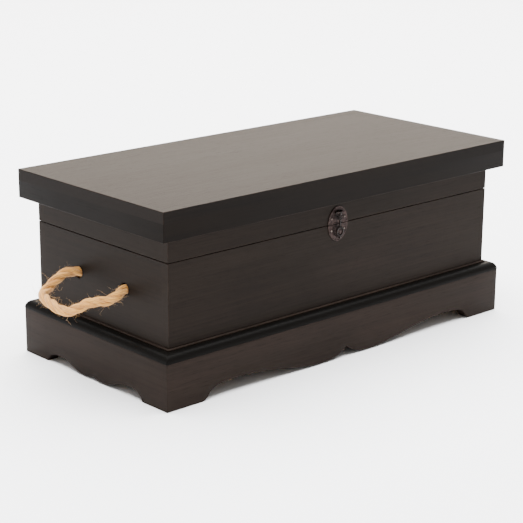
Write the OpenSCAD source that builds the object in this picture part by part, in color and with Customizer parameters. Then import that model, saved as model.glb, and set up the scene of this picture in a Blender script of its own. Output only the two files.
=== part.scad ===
// Low wooden storage chest with a hinged lid, scalloped plinth, oval latch and rope handles.
// Millimetres, +Z up, +X along the chest, the front faces -Y.
// The origin is on the floor under the middle of the chest.

/* [Lid] */
// Length of the lid's overhanging top
lid_l = 750; // [740:5:900]
// Depth of the lid's overhanging top
lid_d = 360; // [350:5:420]
// Height of the lid's thick edge
lid_edge_h = 46; // [40:1:55]
// Thickness of the board that covers the lid
lid_board_t = 18; // [14:1:22]
// Height of the band under the lid's edge, flush with the case
band_h = 37.5; // [32:0.5:45]

/* [Case] */
// Height of the whole chest
total_h = 303; // [295:1:340]
// Length of the case outside
case_l = 704; // [690:1:710]
// Depth of the case outside
case_d = 322; // [310:1:322]
// Thickness of the case boards
board_t = 15; // [12:1:16]
// Gap between the case and the closed lid
seam_gap = 1; // [0.6:0.1:1.5]
// Height of the case boards' lower edge above the floor
case_foot_z = 58; // [50:1:62]
// Thickness of the bottom panel
bottom_t = 8; // [6:1:10]

/* [Plinth] */
// Height of the plinth's moulded top edge
plinth_h = 90; // [86:1:96]
// Thickness of the plinth boards at their moulding
plinth_t = 19.8; // [19:0.2:20.6]
// Height of the arch beside the front feet
front_arch_h = 22.5; // [18:0.5:26]
// Height of the arch beside the end feet
end_arch_h = 15.5; // [12:0.5:20]
// Height of the point in the middle of the front edge
front_cusp_h = 18; // [12:0.5:20]
// Height of the point in the middle of the end edge
end_cusp_h = 6; // [4:0.5:8]

/* [Rope handles] */
// Diameter of the rope
rope_d = 16; // [14:0.5:16]
// Diameter of the rope holes
rope_hole_d = 19; // [18:0.5:21]
// Distance between the two rope holes of an end
rope_hole_gap = 115; // [115:1:115]
// Height of the rope holes
rope_hole_z = 157; // [157:1:157]

/* [Latch and hinges] */
// Width of the oval latch plate
latch_w = 43; // [38:1:46]
// Height of the oval latch plate
latch_h = 57; // [52:1:58]
// Place of the latch along the front, from the middle
latch_x = -8; // [-20:1:20]
// Distance of each hinge from the middle
hinge_x = 230; // [180:5:280]
// Length of a hinge
hinge_l = 50; // [44:1:60]

/* [Hidden] */

// finish colours
stain = [0.16, 0.14, 0.13];
raw_wood = [0.62, 0.50, 0.36];
bronze = [0.28, 0.22, 0.20];
steel = [0.66, 0.66, 0.64];
sisal = [0.86, 0.74, 0.56];

// half sizes and heights that many pieces share
lid_x = lid_l / 2;
lid_y = lid_d / 2;
case_x = case_l / 2;
case_y = case_d / 2;
in_x = case_x - board_t;
in_y = case_y - board_t;
plinth_x = case_x + plinth_t;
plinth_y = case_y + plinth_t;
band_top_z = total_h - lid_edge_h;
band_z = band_top_z - band_h;
case_top_z = band_z - seam_gap;
seam_z = band_z - seam_gap / 2;
lid_board_z = total_h - lid_board_t;

// plinth moulding: a bead by the case, a quirk, and a round nose over the face
bead_r = 1.8;
quirk_in = 3.2;
quirk_out = 4.4;
quirk_z = plinth_h - 4;
nose_top_z = plinth_h - 3;
nose_in = 9.4;
nose_foot_z = plinth_h - 16.2;
face_out = plinth_t - 0.4;

// cleats, foot blocks and their screws
cleat_w = 14;
cleat_h = 12;
bottom_z = case_foot_z + cleat_h;
foot_block_w = 34;
fit_gap = 0.2;
cleat_screw_r = 1.75;
cleat_screw_l = 24;
lid_screw_r = 2;
lid_screw_l = 40;

// hinges
leaf_t = 1.5;
leaf_in = 13;
barrel_r = 3;
hinge_y = case_y + barrel_r + 0.5;
hinge_pin_r = 1.4;
pin_clear = 0.05;
knuckle_gap = 0.4;
knuckle_l = (hinge_l - 2 * knuckle_gap) / 3;
heel_angle = 50;
heel_root = 2;
heel_in = barrel_r + 0.6;
heel_out = 10;
heel_t = 1.6;
heel_half = hinge_l / 2 - 0.5;
heel_notch = knuckle_l / 2 + knuckle_gap + 0.2;
leaf_screw_r = 1.75;
leaf_screw_head_r = 3.2;
leaf_screw_l = 14;
leaf_screw_step = 17;

// latch
latch_plate_t = 1.6;
latch_face_y = -case_y - latch_plate_t;
latch_pin_y = latch_face_y - 2.6;
latch_pin_z = seam_z + 19.5;
latch_pin_r = 1;
latch_barrel_r = 2.2;
latch_barrel_l = 7.2;
lug_t = 2;
lug_x = latch_barrel_l / 2 + 0.4;
hasp_t = 1.8;
hasp_face_y = latch_pin_y - latch_barrel_r;
hasp_disc_z = latch_pin_z - 9;
hasp_disc_r = 5;
hasp_ring_z = seam_z - 12;
hasp_ring_r = 9;
hasp_hole_r = 4.5;
hasp_neck_w = 4.4;
catch_r = 3;
catch_h = 2.4;
latch_nail_r = 0.8;
latch_nail_l = 9;
latch_nail_head_r = 1.7;

// rope: inner ends, knots and the loop outside each end of the case
rope_r = rope_d / 2;
rope_hole_r = rope_hole_d / 2;
knot_round_r = 13;
knot_flat_r = 9;
rope_sides = 10;
// The loop's centre line: distance out from the case's end face, then Y, then Z.
rope_route = [
    [8.5, -57.5, 156], [17, -58, 151], [27, -55.5, 145.5], [37, -51.5, 143.5], [47, -46.5, 144],
    [57, -40.5, 141.5], [66, -33.5, 136], [73, -24.5, 130.5], [78, -13, 128], [80.5, 0, 129.5],
    [81.5, 13, 132.5], [81, 26, 135], [78.5, 38, 136.5], [73, 48.5, 138], [64.5, 55.5, 140.5],
    [54, 59, 145], [43.5, 60, 151], [33, 59.5, 157], [23, 58.5, 160.5], [15, 57.8, 159.5],
    [8.5, 57.5, 156]
];

// ---------- outlines ----------

// point at share t along a cubic curve with end points a, d and handles b, c
function curve_point(a, b, c, d, t) =
    pow(1 - t, 3) * a + 3 * pow(1 - t, 2) * t * b + 3 * (1 - t) * t * t * c + pow(t, 3) * d;

// points of a chain of cubic curves; each link is [start, handle, handle, end]
function chain_points(links, steps) =
    [for (link = links, i = [0:steps - 1])
        curve_point(link[0], link[1], link[2], link[3], i / steps)];

function mirrored(points) = [for (i = [len(points) - 1:-1:0]) [-points[i][0], points[i][1]]];

// lower edge of the long aprons from the middle point to the foot
front_lobe_z = 2;
front_edge = concat(chain_points([
    [[0, front_cusp_h], [7, 11], [20, front_lobe_z], [56, front_lobe_z]],
    [[56, front_lobe_z], [110, front_lobe_z], [150, front_arch_h - 1], [232, front_arch_h]],
    [[232, front_arch_h], [278, front_arch_h + 0.5], [284, 18], [291, 9]],
    [[291, 9], [295, 3], [299, 0], [307, 0]]
], 9), [[307, 0]]);

// lower edge of the end aprons from the middle point to the foot
end_lobe_z = 1.8;
end_edge = concat(chain_points([
    [[0, end_cusp_h], [5, end_cusp_h - 1.5], [12, end_lobe_z], [23, end_lobe_z]],
    [[23, end_lobe_z], [48, end_lobe_z], [56, end_arch_h], [90, end_arch_h]],
    [[90, end_arch_h], [107, end_arch_h], [117, 10], [121, 0]]
], 9), [[121, 0]]);

// elevation of an apron: scalloped below, straight above
module apron_elevation(edge, half_l) {
    right = concat(edge, [[half_l, 0], [half_l, plinth_h]]);
    polygon(concat(right, mirrored(right)));
}

// section of an apron: X is the distance out from the case face, Y is the height
module apron_section() {
    nose_w = plinth_t - nose_in;
    nose_h = nose_top_z - nose_foot_z;
    nose = [for (a = [0:6:90]) [nose_in + nose_w * cos(a), nose_foot_z + nose_h * sin(a)]];
    polygon(concat(
        [[0, 0], [face_out, 0], [face_out, nose_foot_z]],
        nose,
        [[quirk_out, nose_top_z], [quirk_out, quirk_z], [0, quirk_z]]
    ));
    square([quirk_in, plinth_h - bead_r]);
    translate([bead_r, plinth_h - bead_r]) circle(r = bead_r, $fn = 32);
}

// ---------- plinth ----------

// one apron against a case face: half_l is half its outer length, face is the case face's distance out
module apron(edge, half_l, face) {
    intersection() {
        translate([0, -face, 0]) rotate([90, 0, 0]) linear_extrude(height = plinth_t)
            apron_elevation(edge, half_l);
        translate([half_l, -face, 0]) rotate([90, 0, -90]) linear_extrude(height = 2 * half_l)
            apron_section();
        linear_extrude(height = plinth_h) polygon([
            [-half_l, -face - plinth_t], [half_l, -face - plinth_t],
            [half_l - plinth_t, -face], [plinth_t - half_l, -face]
        ]);
    }
}

module front_apron() { color(stain) apron(front_edge, plinth_x, case_y); }
module back_apron() { color(stain) rotate([0, 0, 180]) apron(front_edge, plinth_x, case_y); }
module left_apron() { color(stain) rotate([0, 0, -90]) apron(end_edge, plinth_y, case_x); }
module right_apron() { color(stain) rotate([0, 0, 90]) apron(end_edge, plinth_y, case_x); }

// square block in a corner of the plinth, under the case boards
module foot_block(sx, sy) {
    color(raw_wood)
    translate([sx * (case_x - foot_block_w / 2), sy * (case_y - foot_block_w / 2), case_foot_z / 2])
        cube([foot_block_w, foot_block_w, case_foot_z], center = true);
}

module front_left_foot_block() { foot_block(-1, -1); }
module front_right_foot_block() { foot_block(1, -1); }
module back_left_foot_block() { foot_block(-1, 1); }
module back_right_foot_block() { foot_block(1, 1); }

// ---------- case ----------

// long board of the case; sy is -1 in front and 1 at the back
module long_panel(sy) {
    translate([-case_x, sy < 0 ? -case_y : in_y, case_foot_z])
        cube([case_l, board_t, case_top_z - case_foot_z]);
}

module front_panel() { color(stain) long_panel(-1); }

// the back board has a shallow seat for each hinge leaf in its top edge
module back_panel() {
    color(stain) difference() {
        long_panel(1);
        for (s = [-1, 1]) translate([s * hinge_x - hinge_l / 2, case_y - leaf_in, case_top_z - leaf_t])
            cube([hinge_l, leaf_in + 1, leaf_t + 1]);
    }
}

// end board with its two rope holes; sx is -1 on the left and 1 on the right
module end_panel(sx) {
    color(stain) difference() {
        translate([sx < 0 ? -case_x : in_x, -in_y, case_foot_z])
            cube([board_t, 2 * in_y, case_top_z - case_foot_z]);
        for (sy = [-1, 1]) translate([sx * (case_x + 1), sy * rope_hole_gap / 2, rope_hole_z])
            rotate([0, -90 * sx, 0]) cylinder(r = rope_hole_r, h = board_t + 2, $fn = 64);
    }
}

module left_end_panel() { end_panel(-1); }
module right_end_panel() { end_panel(1); }

module bottom_panel() {
    color(raw_wood) translate([-in_x, -in_y, bottom_z]) cube([2 * in_x, 2 * in_y, bottom_t]);
}

// strips that carry the bottom; they stop short of the foot blocks' height
module long_cleat(sy) {
    color(raw_wood) translate([-in_x, sy < 0 ? -in_y : in_y - cleat_w, case_foot_z])
        cube([2 * in_x, cleat_w, cleat_h]);
}

module end_cleat(sx) {
    color(raw_wood) translate([sx < 0 ? -in_x : in_x - cleat_w, cleat_w - in_y, case_foot_z])
        cube([cleat_w, 2 * (in_y - cleat_w), cleat_h]);
}

module front_cleat() { long_cleat(-1); }
module back_cleat() { long_cleat(1); }
module left_cleat() { end_cleat(-1); }
module right_cleat() { end_cleat(1); }

// screw along +Z with its countersunk head's flat top at the origin, pointing down
module countersunk_screw(shank_r, head_r, head_h, length, tip_h) {
    translate([0, 0, -head_h]) cylinder(r1 = shank_r, r2 = head_r, h = head_h, $fn = 32);
    translate([0, 0, tip_h - length]) cylinder(r = shank_r, h = length - tip_h - head_h, $fn = 32);
    translate([0, 0, -length]) cylinder(r1 = 0.3, r2 = shank_r, h = tip_h, $fn = 32);
}

// screws from inside the plinth, through the cleats and into the case boards
module cleat_screws() {
    color(steel) {
        for (sx = [-2:2], sy = [-1, 1])
            translate([sx * in_x * 0.42, sy * (in_y - cleat_w), case_foot_z + cleat_h / 2])
                rotate([sy * 90, 0, 0])
                    countersunk_screw(cleat_screw_r, 2 * cleat_screw_r, 2, cleat_screw_l, 4);
        for (sx = [-1, 1], sy = [-1, 1])
            translate([sx * (in_x - cleat_w), sy * in_y * 0.55, case_foot_z + cleat_h / 2])
                rotate([0, -sx * 90, 0])
                    countersunk_screw(cleat_screw_r, 2 * cleat_screw_r, 2, cleat_screw_l, 4);
    }
}

// ---------- lid ----------

module lid_top_board() {
    color(stain) translate([-lid_x, -lid_y, lid_board_z]) cube([lid_l, lid_d, lid_board_t]);
}

// mitred rail under the edge of the top board: half_l along, face its outer distance, w its width
module edge_rail(half_l, face, w, w_end) {
    translate([0, 0, band_top_z]) linear_extrude(height = lid_board_z - band_top_z) polygon([
        [-half_l, -face], [half_l, -face], [half_l - w_end, w - face], [w_end - half_l, w - face]
    ]);
}

edge_w = lid_y - in_y;
end_edge_w = lid_x - in_x;

module lid_front_edge() { color(stain) edge_rail(lid_x, lid_y, edge_w, end_edge_w); }
module lid_back_edge() { color(stain) rotate([0, 0, 180]) edge_rail(lid_x, lid_y, edge_w, end_edge_w); }
module lid_left_edge() { color(stain) rotate([0, 0, -90]) edge_rail(lid_y, lid_x, end_edge_w, edge_w); }
module lid_right_edge() { color(stain) rotate([0, 0, 90]) edge_rail(lid_y, lid_x, end_edge_w, edge_w); }

// band rails, flush with the case below
module long_rail(sy) {
    translate([-case_x, sy < 0 ? -case_y : in_y, band_z]) cube([case_l, board_t, band_h]);
}

module lid_front_rail() { color(stain) long_rail(-1); }

module lid_back_rail() {
    color(stain) difference() {
        long_rail(1);
        for (s = [-1, 1]) translate([s * hinge_x - hinge_l / 2, case_y - leaf_in, band_z - 1])
            cube([hinge_l, leaf_in + 1, leaf_t + 1]);
    }
}

module end_rail(sx) {
    color(stain) translate([sx < 0 ? -case_x : in_x, -in_y, band_z]) cube([board_t, 2 * in_y, band_h]);
}

module lid_left_rail() { end_rail(-1); }
module lid_right_rail() { end_rail(1); }

// screws up through the edge rails into the top board, hidden inside the band's line
module lid_screws() {
    color(steel) for (sx = [-1, 1]) {
        for (k = [0.25, 0.75]) for (sy = [-1, 1])
            translate([sx * in_x * k, sy * (case_y + edge_w - board_t - 8), band_top_z])
                rotate([180, 0, 0]) countersunk_screw(lid_screw_r, 2 * lid_screw_r, 2.4, lid_screw_l, 4);
        for (sy = [-1, 1])
            translate([sx * (case_x + end_edge_w - board_t - 8), sy * in_y * 0.5, band_top_z])
                rotate([180, 0, 0]) countersunk_screw(lid_screw_r, 2 * lid_screw_r, 2.4, lid_screw_l, 4);
    }
}

// ---------- hinges ----------

// knuckle number k (0, 1, 2) along the hinge
module knuckle(k) {
    translate([(k - 1) * (knuckle_l + knuckle_gap), hinge_y, seam_z]) rotate([0, 90, 0])
        cylinder(r = barrel_r, h = knuckle_l, center = true, $fn = 48);
}

module leaf_holes(z0, z1) {
    for (i = [-1, 1]) translate([i * leaf_screw_step, case_y - leaf_in / 2, 0]) {
        translate([0, 0, min(z0, z1)])
            cylinder(r1 = z0 < z1 ? leaf_screw_r : leaf_screw_head_r,
                r2 = z0 < z1 ? leaf_screw_head_r : leaf_screw_r, h = leaf_t, $fn = 32);
    }
}

module pin_bore() {
    translate([0, hinge_y, seam_z]) rotate([0, 90, 0])
        cylinder(r = hinge_pin_r + pin_clear, h = hinge_l + 2, center = true, $fn = 48);
}

// plate of a leaf from height z, with its tongues to the knuckles; tongues is a list of knuckle numbers
module leaf_plate(tongues, z) {
    translate([-hinge_l / 2, case_y - leaf_in, z]) cube([hinge_l, leaf_in, leaf_t]);
    for (k = tongues)
        translate([(k - 1) * (knuckle_l + knuckle_gap) - knuckle_l / 2 + 0.2, case_y - 0.5, z])
            cube([knuckle_l - 0.4, hinge_y - case_y, leaf_t]);
}

// one bar of a stop heel behind the barrel, from x0 to x1 and from inner out to the heel's edge
module heel_bar(x0, x1, inner, z) {
    translate([x0, inner, z]) cube([x1 - x0, heel_out - inner, heel_t]);
}

// lower leaf: flat in the case's top edge, with the two outer knuckles and a stop heel behind them
module hinge_case_leaf(s) {
    color(bronze) translate([s * hinge_x, 0, 0]) difference() {
        union() {
            leaf_plate([0, 2], case_top_z - leaf_t);
            for (k = [0, 2]) knuckle(k);
            translate([0, hinge_y, seam_z]) rotate([-heel_angle, 0, 0]) {
                heel_bar(-heel_half, heel_half, heel_in, -heel_t);
                heel_bar(-heel_half, -heel_notch, heel_root, -heel_t);
                heel_bar(heel_notch, heel_half, heel_root, -heel_t);
            }
        }
        pin_bore();
        leaf_holes(case_top_z - leaf_t, case_top_z);
    }
}

// upper leaf: flat in the band's lower edge, with the middle knuckle and its own stop heel
module hinge_lid_leaf(s) {
    color(bronze) translate([s * hinge_x, 0, 0]) difference() {
        union() {
            leaf_plate([1], band_z);
            knuckle(1);
            translate([0, hinge_y, seam_z]) rotate([heel_angle, 0, 0])
                heel_bar(0.5 - knuckle_l / 2, knuckle_l / 2 - 0.5, heel_root, 0);
        }
        pin_bore();
        leaf_holes(band_z + leaf_t, band_z);
    }
}

module hinge_pin(s) {
    color(steel) translate([s * hinge_x, hinge_y, seam_z]) rotate([0, 90, 0]) {
        cylinder(r = hinge_pin_r, h = hinge_l, center = true, $fn = 48);
        for (e = [-1, 1]) translate([0, 0, e * (hinge_l / 2 + 0.5)])
            cylinder(r = 2.2, h = 1, center = true, $fn = 32);
    }
}

module left_hinge_case_leaf() { hinge_case_leaf(-1); }
module right_hinge_case_leaf() { hinge_case_leaf(1); }
module left_hinge_lid_leaf() { hinge_lid_leaf(-1); }
module right_hinge_lid_leaf() { hinge_lid_leaf(1); }
module left_hinge_pin() { hinge_pin(-1); }
module right_hinge_pin() { hinge_pin(1); }

module hinge_case_screws() {
    color(steel) for (s = [-1, 1], i = [-1, 1])
        translate([s * hinge_x + i * leaf_screw_step, case_y - leaf_in / 2, case_top_z])
            countersunk_screw(leaf_screw_r, leaf_screw_head_r, leaf_t, leaf_screw_l, 3);
}

module hinge_lid_screws() {
    color(steel) for (s = [-1, 1], i = [-1, 1])
        translate([s * hinge_x + i * leaf_screw_step, case_y - leaf_in / 2, band_z]) rotate([180, 0, 0])
            countersunk_screw(leaf_screw_r, leaf_screw_head_r, leaf_t, leaf_screw_l, 3);
}

// ---------- latch ----------

// oval outline in X and Z about the seam
module latch_oval() {
    translate([latch_x, seam_z])
        polygon([for (a = [0:7.5:352.5]) [latch_w / 2 * cos(a), latch_h / 2 * sin(a)]]);
}

// half of the oval plate between two heights, on the front face
module latch_half(z0, z1) {
    translate([0, -case_y, 0]) rotate([90, 0, 0]) linear_extrude(height = latch_plate_t) intersection() {
        latch_oval();
        translate([latch_x - latch_w, z0]) square([2 * latch_w, z1 - z0]);
    }
}

module latch_lower_plate() {
    color(bronze) {
        latch_half(seam_z - latch_h, case_top_z);
        translate([latch_x, latch_face_y, hasp_ring_z]) rotate([90, 0, 0])
            cylinder(r1 = catch_r, r2 = catch_r - 0.8, h = catch_h, $fn = 32);
    }
}

// upper half plate with the two lugs that hold the latch pin
module latch_upper_plate() {
    color(bronze) difference() {
        union() {
            latch_half(band_z, seam_z + latch_h);
            for (s = [-1, 1]) translate([latch_x + s * (lug_x + lug_t / 2), 0, latch_pin_z]) {
                translate([0, latch_pin_y, 0]) rotate([0, 90, 0])
                    cylinder(r = latch_barrel_r, h = lug_t, center = true, $fn = 32);
                translate([0, (latch_pin_y - case_y - 1) / 2, 0])
                    cube([lug_t, -case_y - 1 - latch_pin_y, 2 * latch_barrel_r], center = true);
            }
        }
        translate([latch_x, latch_pin_y, latch_pin_z]) rotate([0, 90, 0])
            cylinder(r = latch_pin_r, h = 3 * latch_barrel_l, center = true, $fn = 32);
    }
}

module latch_pin() {
    color(steel) translate([latch_x, latch_pin_y, latch_pin_z]) rotate([0, 90, 0])
        cylinder(r = latch_pin_r, h = 2 * (lug_x + lug_t) + 0.8, center = true, $fn = 32);
}

// swinging hasp: barrel on the pin, small disc, neck, ring and a drop below it
module latch_hasp() {
    color(bronze) difference() {
        union() {
            translate([latch_x, latch_pin_y, latch_pin_z]) rotate([0, 90, 0])
                cylinder(r = latch_barrel_r, h = latch_barrel_l, center = true, $fn = 32);
            translate([latch_x, hasp_face_y + hasp_t, 0]) rotate([90, 0, 0])
            linear_extrude(height = hasp_t) {
                translate([0, hasp_disc_z]) circle(r = hasp_disc_r, $fn = 48);
                translate([-latch_barrel_l / 2, hasp_disc_z])
                    square([latch_barrel_l, latch_pin_z - hasp_disc_z]);
                translate([-hasp_neck_w / 2, hasp_ring_z + hasp_hole_r + 1])
                    square([hasp_neck_w, hasp_disc_z - hasp_ring_z - hasp_hole_r - 1]);
                difference() {
                    translate([0, hasp_ring_z]) circle(r = hasp_ring_r, $fn = 64);
                    translate([0, hasp_ring_z]) circle(r = hasp_hole_r, $fn = 48);
                }
                translate([0, hasp_ring_z - hasp_ring_r - 1]) circle(r = 2.4, $fn = 32);
            }
        }
        translate([latch_x, latch_pin_y, latch_pin_z]) rotate([0, 90, 0])
            cylinder(r = latch_pin_r + pin_clear, h = 2 * latch_barrel_l, center = true, $fn = 32);
    }
}

// small round-headed nails beside the hasp
module latch_nails(z) {
    color(steel) for (s = [-1, 1])
    translate([latch_x + s * latch_w * 0.33, latch_face_y, z]) rotate([90, 0, 0]) {
        translate([0, 0, -latch_nail_l]) cylinder(r = latch_nail_r, h = latch_nail_l + 0.2, $fn = 24);
        cylinder(r1 = latch_nail_head_r, r2 = latch_nail_head_r * 0.55, h = 0.8, $fn = 24);
    }
}

module latch_lower_nails() { latch_nails(seam_z - 10); }
module latch_upper_nails() { latch_nails(seam_z + 10); }

// ---------- rope handles ----------

// place of a route point on the left end of the chest
function left_place(p) = [-case_x - p[0], p[1], p[2]];

function unit(v) = v / norm(v);

// direction of the route at point i
function route_direction(points, i) =
    unit(points[min(i + 1, len(points) - 1)] - points[max(i - 1, 0)]);

// ring of n points of radius r about point c, square to direction d
function ring(c, d, r) =
    let (across = unit(cross(d, [0, 0, 1])), up = cross(across, d))
    [for (k = [0:rope_sides - 1])
        c + r * (cos(360 * k / rope_sides) * across + sin(360 * k / rope_sides) * up)];

// rings of a round end at point c; d points along the rope and side is -1 at its start and 1 at its end
function round_end(c, d, side) =
    [for (a = side < 0 ? [80, 55, 28] : [28, 55, 80])
        ring(c + side * rope_r * sin(a) * d, d, rope_r * cos(a))];

// tube swept along the route's own points, with round ends
module rope_tube(points) {
    last = len(points) - 1;
    rings = concat(
        round_end(points[0], route_direction(points, 0), -1),
        [for (i = [0:last]) ring(points[i], route_direction(points, i), rope_r)],
        round_end(points[last], route_direction(points, last), 1)
    );
    n = len(rings);
    corners = [for (loop = rings) for (p = loop) p];
    sides = [for (i = [0:n - 2]) for (k = [0:rope_sides - 1])
        let (a = i * rope_sides + k, b = i * rope_sides + (k + 1) % rope_sides)
        for (f = [[a, b, b + rope_sides], [a, b + rope_sides, a + rope_sides]]) f];
    start_cap = [for (k = [rope_sides - 1:-1:0]) k];
    end_cap = [for (k = [0:rope_sides - 1]) (n - 1) * rope_sides + k];
    polyhedron(points = corners, faces = concat(sides, [start_cap, end_cap]), convexity = 6);
}

// loop of rope outside the left end; its end points are the pivots
module left_loop() {
    rope_tube([for (p = rope_route) left_place(p)]);
}

// rope end in a hole of the left board, with its knot as a bun inside the case
module left_knot(sy) {
    bun = [for (a = [-90:10:90]) [knot_flat_r + knot_round_r * cos(a), knot_round_r * (1 + sin(a))]];
    translate([-case_x, sy * rope_hole_gap / 2, rope_hole_z]) rotate([0, 90, 0]) {
        cylinder(r = rope_r, h = board_t + knot_round_r, $fn = 32);
        translate([0, 0, board_t + fit_gap]) rotate_extrude($fn = 48)
            polygon(concat([[0, 0]], bun, [[0, 2 * knot_round_r]]));
    }
}

module left_rope_handle() { color(sisal) left_loop(); }
module right_rope_handle() { color(sisal) mirror([1, 0, 0]) left_loop(); }

module left_front_rope_knot() { color(sisal) left_knot(-1); }
module left_back_rope_knot() { color(sisal) left_knot(1); }
module right_front_rope_knot() { color(sisal) mirror([1, 0, 0]) left_knot(-1); }
module right_back_rope_knot() { color(sisal) mirror([1, 0, 0]) left_knot(1); }

// ---------- nodes ----------

front_panel();
back_panel();
left_end_panel();
right_end_panel();
bottom_panel();
front_cleat();
back_cleat();
left_cleat();
right_cleat();
front_left_foot_block();
front_right_foot_block();
back_left_foot_block();
back_right_foot_block();
front_apron();
back_apron();
left_apron();
right_apron();
left_hinge_case_leaf();
right_hinge_case_leaf();
left_hinge_pin();
right_hinge_pin();
hinge_case_screws();
cleat_screws();
latch_lower_plate();
latch_lower_nails();
left_front_rope_knot();
left_back_rope_knot();
right_front_rope_knot();
right_back_rope_knot();
lid_top_board();
lid_front_edge();
lid_back_edge();
lid_left_edge();
lid_right_edge();
lid_front_rail();
lid_back_rail();
lid_left_rail();
lid_right_rail();
left_hinge_lid_leaf();
right_hinge_lid_leaf();
hinge_lid_screws();
lid_screws();
latch_upper_plate();
latch_upper_nails();
latch_pin();
latch_hasp();
left_rope_handle();
right_rope_handle();
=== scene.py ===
# %% [markdown]
# # A low wooden storage chest with rope handles
#
# This script dresses a finished CAD model of a storage chest: dark stained boards, a lid with a thick
# edge, a scalloped plinth, an oval latch, and a loop of sisal rope at each end. The CAD model is the
# frame, so every size is worked out from it. Each step below says what a piece is on the real chest, how
# it could be made, and why it is made this way.

# %% Load the frame
import itertools
import math

import bmesh
import bpy
import numpy as np
from mathutils import Matrix, Quaternion, Vector


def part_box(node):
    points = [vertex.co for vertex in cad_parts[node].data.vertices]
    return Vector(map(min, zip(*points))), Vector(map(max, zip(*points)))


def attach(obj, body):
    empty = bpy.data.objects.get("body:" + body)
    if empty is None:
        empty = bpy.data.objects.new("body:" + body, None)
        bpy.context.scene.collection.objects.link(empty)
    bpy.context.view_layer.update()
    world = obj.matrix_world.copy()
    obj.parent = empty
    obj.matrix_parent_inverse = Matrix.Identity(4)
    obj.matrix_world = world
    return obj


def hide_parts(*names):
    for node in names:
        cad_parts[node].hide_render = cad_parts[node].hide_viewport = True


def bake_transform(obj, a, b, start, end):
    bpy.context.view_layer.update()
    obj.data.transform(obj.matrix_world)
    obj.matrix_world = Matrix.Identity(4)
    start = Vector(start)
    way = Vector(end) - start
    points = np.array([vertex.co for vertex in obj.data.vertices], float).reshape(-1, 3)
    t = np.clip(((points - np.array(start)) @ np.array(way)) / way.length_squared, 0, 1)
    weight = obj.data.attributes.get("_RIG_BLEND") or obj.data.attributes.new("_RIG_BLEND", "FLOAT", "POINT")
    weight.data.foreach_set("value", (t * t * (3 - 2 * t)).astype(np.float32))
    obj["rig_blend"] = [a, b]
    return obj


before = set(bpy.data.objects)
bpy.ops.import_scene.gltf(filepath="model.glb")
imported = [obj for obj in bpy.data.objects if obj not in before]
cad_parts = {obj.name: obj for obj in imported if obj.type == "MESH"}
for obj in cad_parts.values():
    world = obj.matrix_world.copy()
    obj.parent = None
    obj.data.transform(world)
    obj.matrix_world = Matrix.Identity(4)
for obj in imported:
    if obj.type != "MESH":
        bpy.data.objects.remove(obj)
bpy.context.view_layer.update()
MM = 0.001
TINY = 0.02 * MM

# %% [markdown]
# ## The places that many pieces share
#
# A joiner works from a few lines: the faces of the case, the edge of the lid, and the heights of the
# seam and the plinth. They are read from the CAD boards here, so the looks can't drift from the frame.

# %% Lines of the chest
case_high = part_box("back_panel")[1]
lid_low, lid_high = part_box("lid_top_board")
case_face_x, case_face_y = case_high.x, case_high.y
case_top = case_high.z
band_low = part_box("lid_front_rail")[0].z
band_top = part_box("lid_front_edge")[0].z
inner_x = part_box("bottom_panel")[1].x
inner_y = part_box("bottom_panel")[1].y
print("case", case_face_x, case_face_y, "seam", case_top, band_low, "band top", band_top)

# %% [markdown]
# ## The camera
#
# A long lens from a few metres away keeps the chest's edges nearly parallel, as a catalogue shows furniture.
# Its direction is given as an azimuth and an elevation, with a hair's breadth of roll, and its place as a
# point.

# %% Camera
camera_azimuth, camera_elevation, camera_roll = (math.radians(a) for a in (-42.52, 16.37, 0.42))
camera = bpy.data.objects.new("camera", bpy.data.cameras.new("camera"))
bpy.context.scene.collection.objects.link(camera)
camera.data.sensor_width = 36
camera.data.lens = 108.67
camera.data.clip_start, camera.data.clip_end = 0.05, 100
away = Vector((
    math.sin(camera_azimuth) * math.cos(camera_elevation),
    -math.cos(camera_azimuth) * math.cos(camera_elevation),
    math.sin(camera_elevation),
))
camera.rotation_mode = "QUATERNION"
camera.rotation_quaternion = (-away).to_track_quat("-Z", "Y") @ Quaternion((0, 0, 1), camera_roll)
camera.location = (-1.7204, -1.8521, 0.8616)
bpy.context.scene.camera = camera
print("camera at", tuple(camera.location))

# %% [markdown]
# ## Node trees written as sums
#
# Shaders and geometry trees are both graphs of sockets. A small class wraps one socket and turns Python's
# own operators into Math nodes, so a pattern reads like the formula behind it. Arithmetic has its
# reflected forms too, so that a sum may start with a plain number, as in 1 - mask.

# %% Sockets that do sums
def operator(operation, swapped=False):
    """A method that adds one Math node; swapped gives the reflected form."""
    def method(self, other):
        return self.sum(operation, other, self) if swapped else self.sum(operation, self, other)
    return method


class Flow:
    """One output socket. A sum written with it adds Math nodes to its tree."""

    def __init__(self, nodes, socket):
        self.nodes, self.socket = nodes, socket

    def also(self, output):
        """Another output of the same node."""
        return Flow(self.nodes, self.socket.node.outputs[output])

    def sum(self, operation, *values):
        return self.nodes.node("ShaderNodeMath", {"operation": operation}, values)

    __add__, __radd__ = operator("ADD"), operator("ADD", True)
    __sub__, __rsub__ = operator("SUBTRACT"), operator("SUBTRACT", True)
    __mul__, __rmul__ = operator("MULTIPLY"), operator("MULTIPLY", True)
    __truediv__, __rtruediv__ = operator("DIVIDE"), operator("DIVIDE", True)
    __pow__, __rpow__ = operator("POWER"), operator("POWER", True)
    __gt__ = operator("GREATER_THAN")

    def __abs__(self):
        return self.sum("ABSOLUTE", self)

    def cos(self):
        return self.sum("COSINE", self)

    def sin(self):
        return self.sum("SINE", self)

    def above(self, edge, soft=0.05):
        """0 well under edge, 1 well over it, with a soft step between."""
        return self.nodes.node("ShaderNodeMapRange", {"interpolation_type": "SMOOTHSTEP"},
                               {"Value": self, "From Min": edge - soft, "From Max": edge + soft})


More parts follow.
